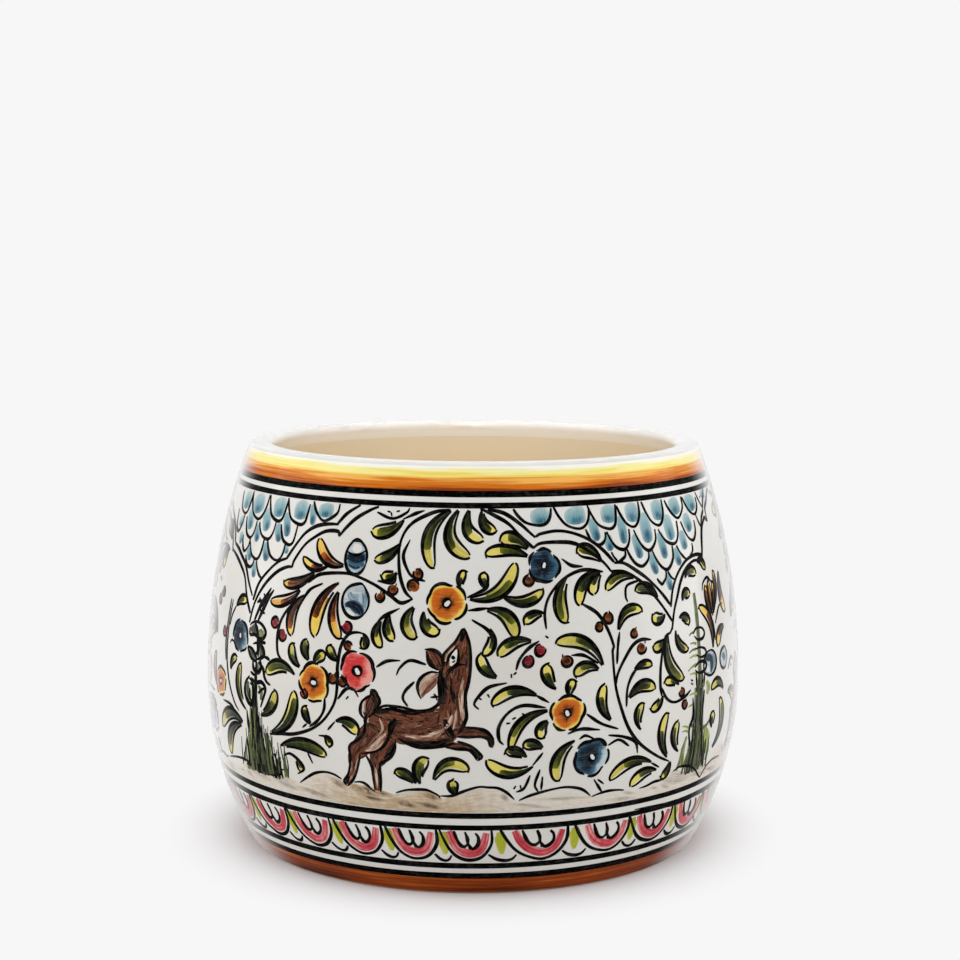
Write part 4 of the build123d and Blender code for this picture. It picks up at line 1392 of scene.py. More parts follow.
# %% Blue scales over the arches: upper left end, lowest point and upper right end of each line
LEFT_TIP, RIGHT_TIP = -86.6, 73.1
LEFT_SCALES = [
    (-112, 125, -104.8, 118.3, -101.3, 126), (-101.5, 125.5, -93, 117.7, -88, 126),
    (-87.5, 126, -79.5, 118.3, -75.8, 126), (-76, 126, -67.5, 118.3, -64, 125),
    (-62.5, 126, -56.5, 120.3, -50.5, 126), (-112, 119, -107.5, 112, -104.3, 118.5),
    (-101.8, 117.5, -96, 111.2, -92.7, 117), (-90.8, 116.8, -84, 112, -80.2, 118),
    (-77, 117.5, -71, 111.5, -68.2, 118), (-101.5, 111.5, -98, 106.5, -95, 111),
    (-94.5, 110, -88.5, 105, -85.3, 112), (-83, 111.5, -76.5, 106, -72.8, 111.5),
    (-96, 105.5, -92, 102, -89.5, 104.8), (-87.7, 104.5, -83, 99.5, -79, 105),
]
RIGHT_SCALES = [
    (14, 126, 23, 120.8, 27.8, 126), (28.8, 126.3, 37.5, 119.3, 42.5, 125.5),
    (42, 126.3, 50, 118.6, 53.8, 126), (54.3, 125.5, 60.5, 118.5, 64.7, 126.2),
    (66.3, 126, 73, 118, 77.3, 126), (79, 125.5, 85, 119.3, 90.3, 125.8),
    (91, 125.5, 97.5, 119.3, 102, 124.5), (103, 126, 110, 119.4, 115, 126),
    (40.2, 119, 45, 114, 48, 117.7), (48.5, 117.8, 54.5, 111.8, 58.2, 118),
    (60.3, 117.6, 66, 110.6, 70.6, 117), (72.3, 116.8, 79.5, 111.5, 83.7, 118.5),
    (86.3, 118, 92, 111.3, 96, 117.5), (98.5, 119, 104.5, 112.6, 108.6, 118),
    (49.4, 111.4, 51.6, 108, 55.2, 111.5), (56, 111.8, 61.5, 106, 65.7, 110.5),
    (67.5, 110.5, 73.5, 103.8, 78.3, 111), (80.8, 110.8, 86, 105.8, 91, 110.5),
    (68, 101.5, 70, 99.4, 72.8, 103.8), (73.8, 103.2, 77.4, 100.2, 80, 104),
]
# Blue touches: from, to, half-width, and how dark the pool at the lower end is
LEFT_DABS = [
    (-106, 125.6, -105, 119.8, 2.8, 0.3), (-95, 125.8, -94, 119.4, 3.6, 0.35),
    (-80.4, 125.9, -79.6, 119.6, 3.2, 0.45), (-68.6, 125.9, -68, 119.8, 2.9, 0.45),
    (-56.4, 125.9, -56, 121.4, 2.9, 0.6), (-75.4, 121.4, -72.6, 114, 1.6, 0.9),
    (-62.9, 125, -61.2, 118.6, 1.3, 0.85), (-79, 117.6, -76.4, 112, 1.6, 0.95),
    (-92.4, 115.8, -89.8, 110.6, 1.6, 0.9), (-84, 111, -81.6, 105.2, 1.6, 0.95),
    (-95.4, 108.6, -92.4, 104.2, 1.5, 0.7), (-89.4, 104.2, -88, 99, 1.3, 0.8),
    (-99.4, 120.6, -97, 113.8, 2.0, 0.45), (-87.8, 121.6, -85, 114.6, 2.2, 0.5),
    (-106.4, 117.4, -106, 113.6, 2.0, 0.4), (-103.4, 112.4, -102.4, 108.4, 1.4, 0.5),
    (-72.4, 111, -71.2, 108.6, 1.0, 0.6),
]
RIGHT_DABS = [
    (23.2, 126.1, 23.8, 121, 3.0, 0.5), (36.2, 126.1, 36.8, 120.6, 3.5, 0.5),
    (50.2, 126.1, 50.6, 120.4, 2.9, 0.5), (60.6, 126.1, 61, 120, 2.7, 0.5),
    (73.8, 126.1, 74.2, 119.6, 2.9, 0.5), (84.2, 126, 84.8, 120.4, 3.0, 0.55),
    (96.4, 126, 96.6, 120.4, 3.6, 0.5), (109, 126, 109.6, 120.6, 3.0, 0.5),
    (42.9, 122.2, 44.5, 115.2, 1.6, 0.9), (54.9, 122.4, 55.3, 113.6, 1.6, 0.85),
    (65.8, 122.6, 66.6, 113, 2.3, 0.6), (77.8, 121, 79, 112.8, 2.3, 0.5),
    (89.8, 120.2, 91.9, 114.4, 2.3, 0.65), (48.5, 117, 49.5, 111.8, 1.5, 0.9),
    (60, 116.2, 61.7, 108.5, 1.6, 0.9), (72.5, 116, 73.8, 107.3, 1.7, 0.85),
    (85.2, 115.2, 86.2, 109, 1.9, 0.7), (66.5, 110, 68.3, 102.9, 1.5, 0.9),
    (79.8, 110.2, 81.2, 104.4, 1.6, 0.9), (73.1, 103, 74.4, 97.1, 1.4, 0.95),
    (101.6, 118.6, 103, 113.6, 1.9, 0.6),
]

# %% Painting the scales
def arch_height(places, panels):
    """Height of the arches' outer line at places round the pot, from the panels on both sides of a corner."""
    line = np.vstack([points for panel in panels for points in arch_lines(panel)[0]])
    line = line[np.argsort(line[:, 0])]
    return np.interp(places, line[:, 0], line[:, 1])


def scale_line(left, left_top, low, bottom, right, right_top):
    """A leaning U: a long slant down to the lowest point and a short, steep way up."""
    wide, fall, rise = right - left, left_top - bottom, right_top - bottom
    return flow([
        (left, left_top), (left + 0.12 * wide, left_top - 0.42 * fall),
        (left + 0.32 * wide, bottom + 0.18 * fall), (low, bottom), (low + 0.2 * wide, bottom + 0.13 * rise),
        (right - 0.04 * wide, bottom + 0.5 * rise), (right, right_top),
    ])


def scale_dab(panel, start, end, width, pool):
    """The watery touch of blue in a scale: pale above, pooled and darker towards its lower end."""
    chance = panel.chance
    path = flow([start, (start + end) / 2 + chance.normal(0, 0.15, 2), end], 0.45)
    t = np.linspace(0, 1, len(path))
    swell = 1.25 * np.sqrt(np.clip(1 - (2 * t - 1) ** 8, 0.1, 1)) * (0.85 + 0.15 * np.sin(math.pi * t))
    deep, aside = 0.3 + 0.3 * pool, chance.uniform(-0.3, 0.3)

    def shade(share, across):
        spot = np.exp(-(((share - 0.72) / 0.24) ** 2) - ((across - aside) / 0.6) ** 2)
        return np.clip(deep + 0.25 * (share - 0.5) + 0.4 * spot, 0, 1)

    def load(share, across):
        return np.clip(1.0 - 0.45 * across**4 - (0.5 - 0.3 * pool) * (1 - share) ** 2, 0, 1)

    sweep(panel.coats["scale"], path, width * swell, WASH_LIFT, shade, load)


def scales(panel, neighbours, lines, dabs, shift):
    """The corner between two panels, painted with one panel's brushes, where it is clear of the arches."""
    for entry in lines:
        line = scale_line(*entry) + (shift, 0)
        clear = line[:, 1] > arch_height(line[:, 0], neighbours) + 0.15
        for run in np.split(np.arange(len(line)), np.flatnonzero(np.diff(clear.astype(int))) + 1):
            if clear[run[0]] and len(run) > 4:
                ink_line(panel, line[run], SCALE_LINE, ends=0.7, placed=True)
    for start_x, start_z, end_x, end_z, width, pool in dabs:
        start, end = np.array([start_x + shift, start_z]), np.array([end_x + shift, end_z])
        floor = float(arch_height(end[0], neighbours)) + 0.7
        if start[1] - max(end[1], floor) > 2:
            end[1] = max(end[1], floor)
            scale_dab(panel, start, end, width, pool)


# %% Mounds: their ridges, the top of the earth wash under them, and grey smears with a half-width
RIDGES = [
    [(-61.5, 35), (-58, 37.5), (-54, 39.5), (-50, 40.2), (-47, 39.9), (-44, 39)],
    [(-39.3, 38.4), (-37, 38.6), (-35, 38), (-33, 36.6), (-32, 36.2)],
    [(-25, 36.2), (-22, 37.3), (-19, 37.8), (-15, 37.8), (-13, 37.2), (-11, 36), (-10.5, 35.3)],
    [(-10.5, 36), (-7, 36.1), (-5, 36.8), (-2, 38), (2, 39.1), (5, 39.3), (8, 38.8), (11, 37.2),
     (13.5, 35)],
    [(15, 34.5), (18, 35.6), (22, 36.8), (26, 37.6), (30, 37.9), (34, 37.5), (36.5, 36.2), (38.5, 35),
     (39.5, 34)],
    [(40, 33.7), (43, 34.6), (46, 34.9), (50, 34.8), (52.5, 34.2)],
    [(59, 33.7), (62, 34.2), (65, 34.9), (68, 35), (71, 35.4)],
]
EDGE_RIDGES = [
    [(74, 37), (78, 38), (84, 37), (88, 34.5), (91, 32), (93, 31)],
    [(93, 31), (96, 34), (101, 35.5), (108, 35.5)],
    [(-104, 35.5), (-96, 37), (-90, 37.3), (-84, 36.2), (-75, 37), (-68, 38.4)],
]
EARTH_TOP = [
    (-88, 35.4), (-75, 36), (-64, 34.4), (-58, 37.2), (-50, 39.8), (-44, 38.6), (-38, 38), (-32, 36),
    (-26, 35.8), (-19, 37.4), (-13, 37), (-10, 35.4), (-5, 36.6), (2, 38.8), (8, 38.5), (13, 35),
    (15, 34.2), (22, 36.5), (30, 37.6), (36, 36), (40, 33.5), (46, 34.6), (53, 33.8), (59, 33.3),
    (66, 34.7), (74, 35.6),
]
SMEARS = [
    (-47.5, 38.2, -43, 36.6, 0.9), (-41, 37, -36, 35.8, 0.9), (-38, 36.2, -31, 35.2, 1.2),
    (-33, 36, -27, 35.4, 0.7), (-37, 34.6, -29, 33.2, 0.6), (-16, 36.6, -11, 35.2, 0.9),
    (-19, 33.4, -10, 31.8, 0.8), (9.5, 36.4, 11, 34.4, 0.8), (13, 33.2, 25, 31.4, 0.5),
    (22, 34.2, 38, 33.4, 0.5), (47, 31.6, 58, 30.8, 0.5), (52, 33.8, 57, 32.4, 0.5),
    (64, 33.2, 67.5, 32.4, 0.4), (69, 33.5, 73, 31.8, 0.7), (-75, 36.2, -64, 34.5, 1.0),
    (-75, 34, -60, 32.4, 0.8), (-90, 35.2, -76, 33.2, 1.1), (-62, 33.4, -48, 31.6, 0.7),
    (-26, 33.6, -18, 31.8, 0.9), (74, 36, 84, 33.4, 1.1),
]
EARTH_FOOT = 30.2
WARM_MIDDLE, WARM_REACH = -23, 30
print("mounds:", len(RIDGES) + len(EDGE_RIDGES), "ridges and", len(SMEARS), "smears")

# %% Painting the mounds
def warmth(drawn):
    """How warm and wet the earth is at a place in the drawing: most under the hind."""
    return np.clip(1.5 - np.abs(drawn - WARM_MIDDLE) / WARM_REACH, 0, 1)


def smears(panel):
    """Grey smears in the earth, dark in their middle and lost in the wash at their ends and sides."""
    for start_x, start_z, end_x, end_z, width in SMEARS:
        middle = np.array([(start_x + end_x) / 2, (start_z + end_z) / 2])
        reach = 0.7 * np.array([end_x - start_x, end_z - start_z])
        smear = [(*(middle - reach), 0.6 * width), (*middle, 1.6 * width), (*(middle + reach), 0.5 * width)]
        warm = float(warmth(middle[0]))
        under = 0.12 + 0.2 * warm

        def tone(share, across):
            lost = np.clip(1.4 - 2.8 * np.abs(share - 0.5), 0, 1) * (1 - across**2)
            return under + (0.86 - under) * lost

        brushed(panel, "earth", [smear], WASH_LIFT + OVER, tone, 0.5 + 0.5 * warm)


def mounds(panel, ridges):
    """A long earth wash, warm under the hind and pale at the ends, its smears, and the ridges over it."""
    top = flow(panel.place(EARTH_TOP), 0.8)
    ground = np.column_stack([top[:, 0], (top[:, 1] + EARTH_FOOT) / 2])
    drawn = DRAWING_MIDDLE + (top[:, 0] - panel.middle) / panel.stretch
    warm = warmth(drawn)
    share = np.linspace(0, 1, len(ground))
    sweep(
        panel.coats["earth"], ground, (top[:, 1] - EARTH_FOOT) / 2, WASH_LIFT,
        lambda s, c: np.clip(0.12 + 0.2 * np.interp(s, share, warm) - 0.08 * c, 0, 1),
        lambda s, c: np.clip(0.5 + 0.5 * np.interp(s, share, warm) - 0.25 * np.clip(c, 0, 1) ** 3, 0, 1),
    )
    smears(panel)
    for ridge in ridges:
        ink_line(panel, ridge, RIDGE_LINE)


# %% The bushy tree: lines of the point, and washes with a half-width and a shade
BUSHY_FOOT, SLIM_FOOT, GROUND = -81.5, 87.0, 36
BUSHY_LINES = [
    [(-86.3, 83.5), (-85, 84.6), (-82, 85.3), (-79, 84.5), (-77, 82.5), (-78, 80.5), (-80, 80), (-83, 81),
     (-85.8, 80.6), (-86.2, 83)],
    [(-83.5, 85), (-82, 83), (-81.2, 81), (-80.6, 77.5), (-80.3, 74)],
    [(-80.3, 79.2), (-78.5, 79), (-76.6, 79.1)],
    [(-86.7, 76.6), (-84, 76), (-81.7, 74.2), (-81.3, 72.5), (-84, 73), (-86, 75.2), (-86.7, 76.6)],
    [(-80.6, 78.6), (-78.2, 77.3), (-77, 75.2), (-78.6, 73.9), (-80.6, 73.2)],
    [(-77.6, 74.6), (-75.6, 74.4), (-74, 73.9)],
    [(-83.6, 77.8), (-81.2, 78.4), (-80.4, 76.3), (-82, 74.6), (-83.8, 76.2)],
    [(-84.2, 68.5), (-82.4, 67.8), (-80.5, 68)],
    [(-83.2, 73), (-82.5, 69.8), (-79.6, 69), (-78.4, 71.4), (-79.4, 73.6)],
    [(-80, 72.4), (-77.2, 70.4), (-76.4, 68), (-75, 66.4), (-73.2, 65.8)],
    [(-84.8, 67), (-87, 64.5), (-87.4, 61), (-85.2, 58), (-83, 57.8), (-82.3, 61), (-83, 65), (-85, 66.3)],
    [(-84.4, 64.6), (-82.6, 64), (-82, 60.6), (-83, 58.6), (-84.6, 60), (-84.4, 63)],
    [(-79.6, 62), (-77.6, 63.6), (-76, 64.3)],
    [(-84, 66.6), (-81, 65.4), (-78, 66), (-75.7, 64.2), (-76.8, 60.8), (-78.2, 57.6)],
    [(-81.2, 73), (-81, 68), (-80.9, 62), (-81.2, 57)], [(-86.3, 55.3), (-85.8, 52), (-85.4, 47.5)],
    [(-83.6, 56.4), (-83, 51), (-83.2, 46)], [(-79.9, 55), (-79.2, 50.5), (-79.6, 46)],
    [(-84, 85.4), (-82, 89.4), (-80, 92.4), (-76.5, 97)],
    [(-82.2, 85), (-80, 89), (-77.6, 93.4), (-75, 96.6)], [(-83.4, 91.4), (-82, 92.3), (-80.4, 92.4)],
    [(-82.3, 93.2), (-81.6, 91.6)], [(-80.2, 94.8), (-79, 93.4)],
    [(-81.4, 89.4), (-80, 88.8), (-78.4, 88.5)],
]
BUSHY_WASHES = [
    ([(-85.6, 82.2, 0.9), (-83.5, 82.8, 1.7), (-81.5, 82.6, 1.2)], 0.85),
    ([(-81, 82.3, 0.8), (-79.5, 81.9, 1.6), (-78, 82, 0.8)], 0.3),
    ([(-85.6, 75.5, 0.5), (-83.5, 74.3, 1.0), (-82, 73.2, 0.5)], 0.8),
    ([(-80, 77.3, 0.8), (-78.6, 76, 1.3), (-79, 74.3, 0.7)], 0.7),
    ([(-81.6, 72.4, 0.5), (-80.3, 70.8, 0.9), (-80.5, 69.3, 0.5)], 0.5),
    ([(-85.7, 65, 0.7), (-85.6, 62, 1.2), (-84.2, 59, 0.8)], 0.65),
    ([(-79.5, 64.6, 0.5), (-78, 63, 1.0), (-78, 60, 0.5)], 0.5),
    ([(-81, 67.4, 0.8), (-81, 62, 0.9), (-81.3, 57, 1.8)], 0.75),
    ([(-81.3, 58, 1.8), (-81.6, 52, 2.5), (-81.8, 46, 3.8), (-82, 38, 5.4)], 0.8),
]
print("bushy tree:", len(BUSHY_LINES), "lines and", len(BUSHY_WASHES), "washes")

# %% The slim tree, with short feathers of an almost dry brush
SLIM_LINES = [
    [(84, 81.5), (86, 83), (89.5, 82.8), (91.3, 81), (90, 79.3), (86.5, 79.3), (84.5, 80.8)],
    [(84.8, 76.3), (87.5, 76.6), (91, 75.5), (91.4, 73.6), (88, 73.2), (85, 74.5)],
    [(84, 70.4), (86.5, 71.7), (90, 71.5), (91.5, 70), (90, 68.5), (86.5, 68.2), (84, 69.5)],
    [(84.5, 69), (84.8, 66), (85, 63)], [(86.3, 68.2), (86.2, 65), (86, 63)],
    [(88.6, 68.2), (88.4, 65), (88.2, 63)], [(90, 67.4), (89.6, 65), (89.4, 63)],
    [(82.5, 60.6), (82.8, 54.5), (80.8, 50), (82, 44)],
    [(89.7, 62), (88.6, 55), (88.2, 50), (89.6, 43), (91, 37)],
]
SLIM_WASHES = [
    ([(87, 94.6, 0.9), (87.2, 88, 1.25), (87.1, 80, 1.2), (87, 72, 1.2), (86.8, 63, 1.6)], 0.42),
    ([(86.4, 63.6, 3.0), (86.2, 57, 3.2), (86, 50, 3.8), (86.8, 44, 4.2), (88, 37, 4.6)], 0.9),
    ([(91, 49, 0.8), (92.6, 45, 2.6), (92, 39.6, 2.4)], 0.05),
    ([(91.3, 64.6, 0.7), (92.6, 62.4, 1.4), (91.4, 60.2, 0.7)], 0.08),
    ([(80.6, 51.8, 0.4), (83, 51, 0.9), (86, 50, 1.0)], 0.6),
    ([(88, 49, 0.9), (92, 49.6, 0.7), (96.5, 53, 0.4)], 0.6),
    ([(79, 37.4, 0.8), (78.2, 43, 1.1), (79.6, 48, 0.5)], 0.3),
    ([(81.8, 37.4, 0.8), (82.4, 43, 1.2), (84, 48.4, 0.5)], 0.4),
    ([(75, 35.6, 0.6), (77.2, 39.6, 0.9), (77.6, 44.4, 0.4)], 0.3),
]
SLIM_FEATHERS = [
    (81, 73.8, 85.5, 74.2), (82, 78.5, 85.5, 78), (81.5, 81.2, 84.5, 82), (80, 69.8, 85, 71.3),
    (81, 68.5, 85.5, 68), (80.5, 61.7, 85, 61.5), (80, 57.8, 83, 58), (77, 51.8, 81, 50.5),
    (77, 50, 80.5, 49.5), (81, 75.6, 85, 76.4),
]
print("slim tree:", len(SLIM_LINES), "lines,", len(SLIM_WASHES), "washes,", len(SLIM_FEATHERS), "feathers")

# %% Painting the trees
def sheaf(panel, x, spread, tall, count, ink_share):
    """Upright strokes of a half-dry brush, dense in the middle, that fan out towards the ground."""
    chance = panel.chance
    for number in range(count):
        foot = x + spread * chance.triangular(-1, 0, 1)
        high = GROUND + tall * chance.uniform(0.35, 1.0) * (1.1 - 0.5 * abs(foot - x) / spread)
        lean = (x - foot) * chance.uniform(-0.1, 0.35)
        low = (foot, chance.uniform(GROUND - 1.8, GROUND + 1.2))
        middle = (foot + 0.4 * lean + chance.normal(0, 0.4), (GROUND + high) / 2)
        path = flow([low, middle, (foot + lean, high)])
        inked = chance.random() < ink_share
        width = chance.uniform(0.5, 0.95) if inked else chance.uniform(0.8, 1.7)
        coat = panel.coats["ink" if inked else "tree"]
        shade = chance.uniform(0.3, 0.8) if inked else chance.uniform(0.3, 1.0)
        taper = np.linspace(1, 0.35, len(path))
        sweep(coat, path, width / 2 * taper, FILL_LIFT + 0.0005 * number, shade, 1.0, INK_ACROSS)


def tree(panel, lines, washes, feathers, shift, bold=1.0):
    """A scribbled tree, moved round the pot by shift."""
    coat = panel.coats["tree"]
    for stroke, shade in washes:
        path = flow(np.array(stroke) + (shift, 0, 0), 0.6)
        sweep(
            coat, path[:, :2], path[:, 2], WASH_LIFT,
            lambda s, c: np.clip(shade + 0.12 * c, 0, 1),
            lambda s, c: np.clip(1.0 - 0.35 * c**4, 0, 1),
        )
    for start_x, start_z, end_x, end_z in feathers:
        middle = ((start_x + end_x) / 2 + shift, (start_z + end_z) / 2 + 0.3)
        path = flow([(start_x + shift, start_z), middle, (end_x + shift, end_z)], 0.5)
        tone = panel.chance.uniform(0.05, 0.4)
        sweep(coat, path, np.linspace(0.2, 0.55, len(path)), FILL_LIFT, tone, 1.0, INK_ACROSS)
    for line in lines:
        ink_line(panel, np.array(line) + (shift, 0), bold * panel.chance.uniform(0.95, 1.35), placed=True)


def bushy_tree(panel, shift):
    tree(panel, BUSHY_LINES, BUSHY_WASHES, [], shift, bold=1.3)
    sheaf(panel, BUSHY_FOOT + shift, spread=5.6, tall=30, count=46, ink_share=0.5)
    sheaf(panel, BUSHY_FOOT + 2.5 + shift, spread=14.0, tall=17, count=110, ink_share=0.55)
    for _ in range(10):
        x, z = BUSHY_FOOT + shift + panel.chance.uniform(-9, 13), panel.chance.uniform(35.4, 38)
        dash = [(x - 4, z - 0.5), (x, z), (x + 4, z + 0.3)]
        ink_line(panel, dash, panel.chance.uniform(0.7, 1.3), placed=True)


def slim_tree(panel, shift):
    tree(panel, SLIM_LINES, SLIM_WASHES, SLIM_FEATHERS, shift)
    sheaf(panel, SLIM_FOOT - 1 + shift, spread=3.6, tall=29, count=40, ink_share=0.4)
    sheaf(panel, SLIM_FOOT + shift, spread=10.0, tall=14, count=60, ink_share=0.3)


# %% [markdown]
# ## Four sides
# The photograph shows one side from edge to edge. The pot is painted all round, so the same plan is
# repeated on the three sides that aren't seen, a little narrower and with a hand that never lands twice on
# the same spot.

# %% The panels round the pot
FRONT_WIDTH = 159.7
OTHER_STRETCH = (AROUND - FRONT_WIDTH) / 3 / FRONT_WIDTH
OTHER_WIDTH = FRONT_WIDTH * OTHER_STRETCH
STEADY_HAND, QUICK_HAND = 0.12, 0.4
tips = [LEFT_TIP] + [LEFT_TIP + FRONT_WIDTH + OTHER_WIDTH * turn for turn in range(3)]
panels = [Panel("front", DRAWING_MIDDLE, 1.0, STEADY_HAND, seed=3)]
for turn, name in enumerate(("right", "back", "left")):
    middle = LEFT_TIP + FRONT_WIDTH + OTHER_WIDTH * (turn + 0.5)
    panels.append(Panel(name, middle, OTHER_STRETCH, QUICK_HAND, seed=20 + turn))
# From where to where each side has leaves, and from where on it has flowers, in the drawing's places
SEEN_PART = ((-200, 200, -200), (-47, 200, -34), (-66, 200, -66), (-66, 47, -66))
PANEL_RIDGES = (RIDGES + EDGE_RIDGES, RIDGES[1:], RIDGES, RIDGES[:-1])
for number, panel in enumerate(panels):
    mounds(panel, PANEL_RIDGES[number])
    arch(panel)
    greenery(panel, *SEEN_PART[number])
    hind(panel)
    if number % 2:
        slim_tree(panel, tips[number] - RIGHT_TIP)
    else:
        bushy_tree(panel, tips[number] - LEFT_TIP)
edges(panels[0])
print("tips at", [round(tip, 1) for tip in tips], "mm")

# %% The corners between them
left_again = Panel("left_again", panels[3].middle - AROUND, OTHER_STRETCH, QUICK_HAND, seed=23)
scales(panels[0], (left_again, panels[0]), LEFT_SCALES, LEFT_DABS, 0.0)
for number in (1, 2, 3):
    shift = tips[number] - RIGHT_TIP
    scales(panels[number], (panels[number - 1], panels[number]), RIGHT_SCALES, RIGHT_DABS, shift)
print("scales:", len(LEFT_SCALES), "lines at the left tip and", len(RIGHT_SCALES), "at each of the others")

# %% [markdown]
# ## The frieze above the foot
# A row of hanging loops runs round the pot: a red band in each, two petals inside it, and between the loops
# a yellow-green drop over a small tongue. The loops that the photograph shows are listed one by one, and the
# others follow at the same pace.

# %% The frieze's places
# A loop is given by its upper left end, its lowest place and its right side
FRONT_LOOPS = [
    (-93, -80, -71.6), (-71, -59.5, -51.3), (-49.8, -39.8, -31.3), (-30, -20.5, -12), (-11.2, -1.5, 6.6),
    (9.2, 24.3, 33), (35.2, 49.8, 57.4), (57.2, 70.5, 78.8), (79.6, 92, 100),
]
HIDDEN_LOOPS = 19
LOOP_GAP = 0.8
PETAL_LINES = [
    [(0, 23.9), (0.14, 20.6), (0.3, 18.6), (0.46, 18.3), (0.55, 19.3)],
    [(0.45, 23.6), (0.55, 21.2), (0.58, 19.2), (0.72, 17.8)],
    [(0.86, 23.2), (0.98, 21.8), (1, 19.6), (0.88, 17.9), (0.72, 17.5), (0.58, 18.9)],
]
TONGUE = [(0, 15.3), (0.28, 13.6), (0.6, 12.9), (0.85, 13.4), (1, 15)]

# %% One loop, with its petals, drop and tongue
def frieze_loop(panel, left, low, right, before):
    """One loop of the frieze, and the drop and the tongue between it and the end of the loop before."""
    slope, rise = low - left, right - low
    chance, dip = panel.chance, panel.chance.normal(0, 0.15)
    red = flow([
        (left + 0.33 * slope, 23.8), (left + 0.46 * slope, 20.2), (left + 0.68 * slope, 17.2),
        (low, 15.6 + dip), (low + 0.42 * rise, 16.4), (low + 0.64 * rise, 18.8), (low + 0.76 * rise, 23.2),
    ], 0.6)
    width = 1.65 * np.sin(np.linspace(0.45, 2.75, len(red))) ** 0.4
    deep, streaks = chance.uniform(0.42, 0.56), chance.uniform(0, FULL_TURN)

    def red_shade(share, across):
        streaked = 0.16 * np.sin(7 * across + streaks) - 0.2 * across**2
        return np.clip(deep + streaked + 0.1 * np.sin(9 * share + streaks), 0, 1)

    def red_load(share, across):
        return np.clip(1.1 - 0.2 * across**4, 0, 1)

    sweep(panel.coats["loop"], red, width, FILL_LIFT, red_shade, red_load)
    middle = (before + left) / 2 + 2.0
    drop = flow([(middle - 0.6, 23.4), (middle - 0.2, 20), (middle + 0.3, 15.4)], 0.5)
    t = np.linspace(0, 1, len(drop))
    plump = 2.6 * np.sqrt(np.clip(t * 3.5, 0.3, 1)) * (1.03 - t) ** 0.45
    sweep(
        panel.coats["drop"], drop, plump, FILL_LIFT,
        lambda s, c: 0.62 - 0.3 * s + 0.15 * c,
        lambda s, c: np.clip(1.05 - 0.3 * c**4, 0, 1),
    )
    ink_line(panel, [
        (left, 24.4), (left + 0.16 * slope, 20.6), (left + 0.36 * slope, 17), (left + 0.62 * slope, 14.5),
        (low, 13.1 + dip), (low + 0.5 * rise, 14), (low + 0.83 * rise, 16.6), (right, 20),
        (right - 0.3, 24.4),
    ], LOOP_LINE, ends=0.6, placed=True)
    petals, petals_wide = left + 0.5 * slope, 0.5 * slope + 0.44 * rise
    knot = (petals + 0.66 * petals_wide, 17.9)
    blot(panel.coats["ink"], knot, wobbly(panel, 0.75), INK_LIFT - 0.01, 0.5, rings=3, spokes=14)
    for line in PETAL_LINES:
        drawn = [(petals + share * petals_wide, z) for share, z in line]
        ink_line(panel, drawn, PETAL_LINE, ends=0.6, placed=True)
    start, end = before - 1.1, left + 0.41 * slope
    tongue = [(start + share * (end - start), z) for share, z in TONGUE]
    ink_line(panel, tongue, TONGUE_LINE, ends=0.6, placed=True)


# %% The loops round the pot
first, last = FRONT_LOOPS[0][0] + AROUND, FRONT_LOOPS[-1][2]
pace = (first - last) / HIDDEN_LOOPS
starts = [last + pace * step for step in range(HIDDEN_LOOPS)]
hidden = [(start + 0.6, start + 0.58 * pace, start + pace - LOOP_GAP) for start in starts]
frieze_brushes = Panel("frieze", DRAWING_MIDDLE, 1.0, 0.1, seed=40)
before = FRONT_LOOPS[0][0] - LOOP_GAP
for left, low, right in [*FRONT_LOOPS, *hidden]:
    frieze_loop(frieze_brushes, left, low, right, before)
    before = right
print("frieze:", len(FRONT_LOOPS), "loops in sight and", HIDDEN_LOOPS, "more")

# %% Where the ring's end runs over its beginning
RING_END = [
    [(58.5, 26.4, 0.12), (62, 26.3, 0.3), (68, 25.9, 0.6), (74, 25.2, 1.0), (80, 24.7, 1.2),
     (90, 24.6, 0.8)],
]
brushed(frieze_brushes, "ink", RING_END, INK_LIFT, 0.7)

# %% The painted pieces
for panel in [*panels, frieze_brushes]:
    for own in OWN_TO_PANEL:
        if panel.coats[own].count:
            panel.coats[own].piece(f"{panel.name}_{own}", PIGMENTS[own])
for name, coat in shared_coats.items():
    coat.piece(f"painted_{name}", PIGMENTS[name])

# %% [markdown]
# ## Studio
# The floor is plain and pale. Broad soft lights stand left and right, one hangs above, and a small one
# shines through the mouth into the hollow. The camera looks slightly down on the rim, as it did in the
# photograph.

# %% The floor
STUDIO_WHITE, FLOOR_WHITE = linear(248, 247, 247), linear(243, 243, 244)
FLOOR_SIZE = 6.0
# The floor shows its shadow whole up to here, and none of it from there on, in metres from the pot's axis
SHADOW_TO, WHITE_AGAIN = 0.072, 0.114


def studio_floor():
    """A pale floor that keeps the pot's soft shadow and, seen by the camera, runs out into plain white."""
    bpy.ops.mesh.primitive_plane_add(size=FLOOR_SIZE)
    plane = bpy.context.object
    plane.name = "studio_floor"
    material, tree, shader = new_material("studio_floor")
    shader.inputs["Base Color"].default_value = FLOOR_WHITE
    shader.inputs["Roughness"].default_value = 0.7
    away = add_node(tree, "ShaderNodeVectorMath", {0: place_in(tree)}, operation="LENGTH").outputs["Value"]
    seen = add_node(tree, "ShaderNodeLightPath").outputs["Is Camera Ray"]
    share = maths(tree, "MULTIPLY", ramp_value(tree, away, SHADOW_TO, WHITE_AGAIN), seen)
    white = add_node(tree, "ShaderNodeEmission", {"Color": STUDIO_WHITE, "Strength": 1.0})
    mix = add_node(tree, "ShaderNodeMixShader", {0: share, 1: shader.outputs[0], 2: white.outputs[0]})
    tree.links.new(mix.outputs[0], tree.nodes["Material Output"].inputs["Surface"])
    plane.data.materials.append(material)


# %% The world and the lamps
WORLD_NEAR, WORLD_FAR = 0.51, 0.80
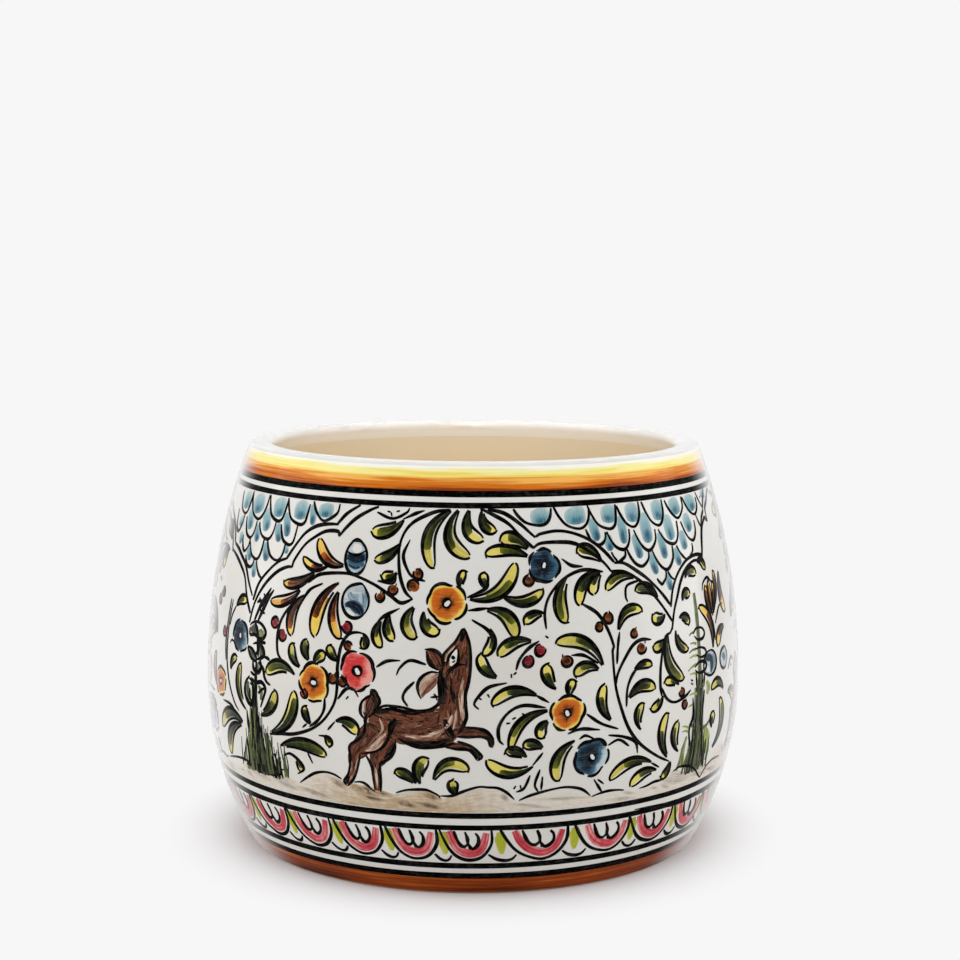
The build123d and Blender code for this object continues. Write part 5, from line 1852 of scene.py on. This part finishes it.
# What the lamps aim at, in metres
BELLY, RIM, HOLLOW = (0, 0, 0.07), (0, 0, 0.12), (0, 0.075, 0.122)


def soft_light(name, place, aim, size, power, spread=180):
    data = bpy.data.lights.new(name, "AREA")
    data.spread = math.radians(spread)
    data.shape, data.size, data.size_y, data.energy = "RECTANGLE", size[0], size[1], power
    lamp = bpy.data.objects.new(name, data)
    bpy.context.scene.collection.objects.link(lamp)
    lamp.location = place
    direction = np.array(aim) - np.array(place)
    flat = math.hypot(direction[0], direction[1])
    pitch, heading = math.atan2(direction[2], flat), math.atan2(-direction[0], direction[1])
    lamp.rotation_euler = (math.pi / 2 + pitch, 0, heading)


def studio_world():
    """White light from all round, weaker from behind the camera, and plain white for the camera itself."""
    world = bpy.data.worlds.new("studio")
    world.use_nodes = True
    bpy.context.scene.world = world
    tree = world.node_tree
    fill = tree.nodes["Background"]
    fill.inputs["Color"].default_value = (1, 1, 1, 1)
    towards = add_node(tree, "ShaderNodeTexCoord").outputs["Generated"]
    depth = add_node(tree, "ShaderNodeSeparateXYZ", {0: towards}).outputs["Y"]
    links = {"Value": depth, "From Min": -1.0, "From Max": 0.6, "To Min": WORLD_NEAR, "To Max": WORLD_FAR}
    strength = add_node(tree, "ShaderNodeMapRange", links)
    tree.links.new(strength.outputs["Result"], fill.inputs["Strength"])
    white = add_node(tree, "ShaderNodeBackground", {"Color": STUDIO_WHITE, "Strength": 1.0})
    seen = add_node(tree, "ShaderNodeLightPath").outputs["Is Camera Ray"]
    mix = add_node(tree, "ShaderNodeMixShader", {0: seen, 1: fill.outputs[0], 2: white.outputs[0]})
    tree.links.new(mix.outputs[0], tree.nodes["World Output"].inputs["Surface"])


studio_floor()
studio_world()
soft_light("left_softbox", (-0.70, -0.02, 0.22), aim=BELLY, size=(0.5, 0.5), power=1.25)
soft_light("right_softbox", (0.70, 0.0, 0.22), aim=BELLY, size=(0.5, 0.5), power=1.15)
soft_light("top_softbox", (0.0, -0.42, 0.80), aim=RIM, size=(0.6, 0.5), power=1.6)
soft_light("mouth_spot", (0.0, -0.30, 0.50), aim=HOLLOW, size=(0.06, 0.06), power=0.036, spread=30)
print("world light", WORLD_NEAR, "behind the camera to", WORLD_FAR, "behind the pot")

# %% Camera
# Places and lens in mm, turns in degrees, as fitted to the photograph
CAMERA_AWAY, CAMERA_UP, LENS, SENSOR = 689.9, 207.5, 73.09, 36
CAMERA_PITCH, CAMERA_YAW, CAMERA_ROLL = 6.80, 0.18, 0.25
camera = bpy.data.objects.new("camera", bpy.data.cameras.new("camera"))
bpy.context.scene.collection.objects.link(camera)
camera.location = (0, -MM * CAMERA_AWAY, MM * CAMERA_UP)
yaw = Matrix.Rotation(-math.radians(CAMERA_YAW), 3, "Z")
pitch = Matrix.Rotation(math.radians(90 - CAMERA_PITCH), 3, "X")
camera.rotation_euler = (yaw @ pitch @ Matrix.Rotation(math.radians(CAMERA_ROLL), 3, "Z")).to_euler()
camera.data.sensor_width = SENSOR
camera.data.lens = LENS
bpy.context.scene.camera = camera
bpy.context.scene.view_settings.view_transform = "Standard"
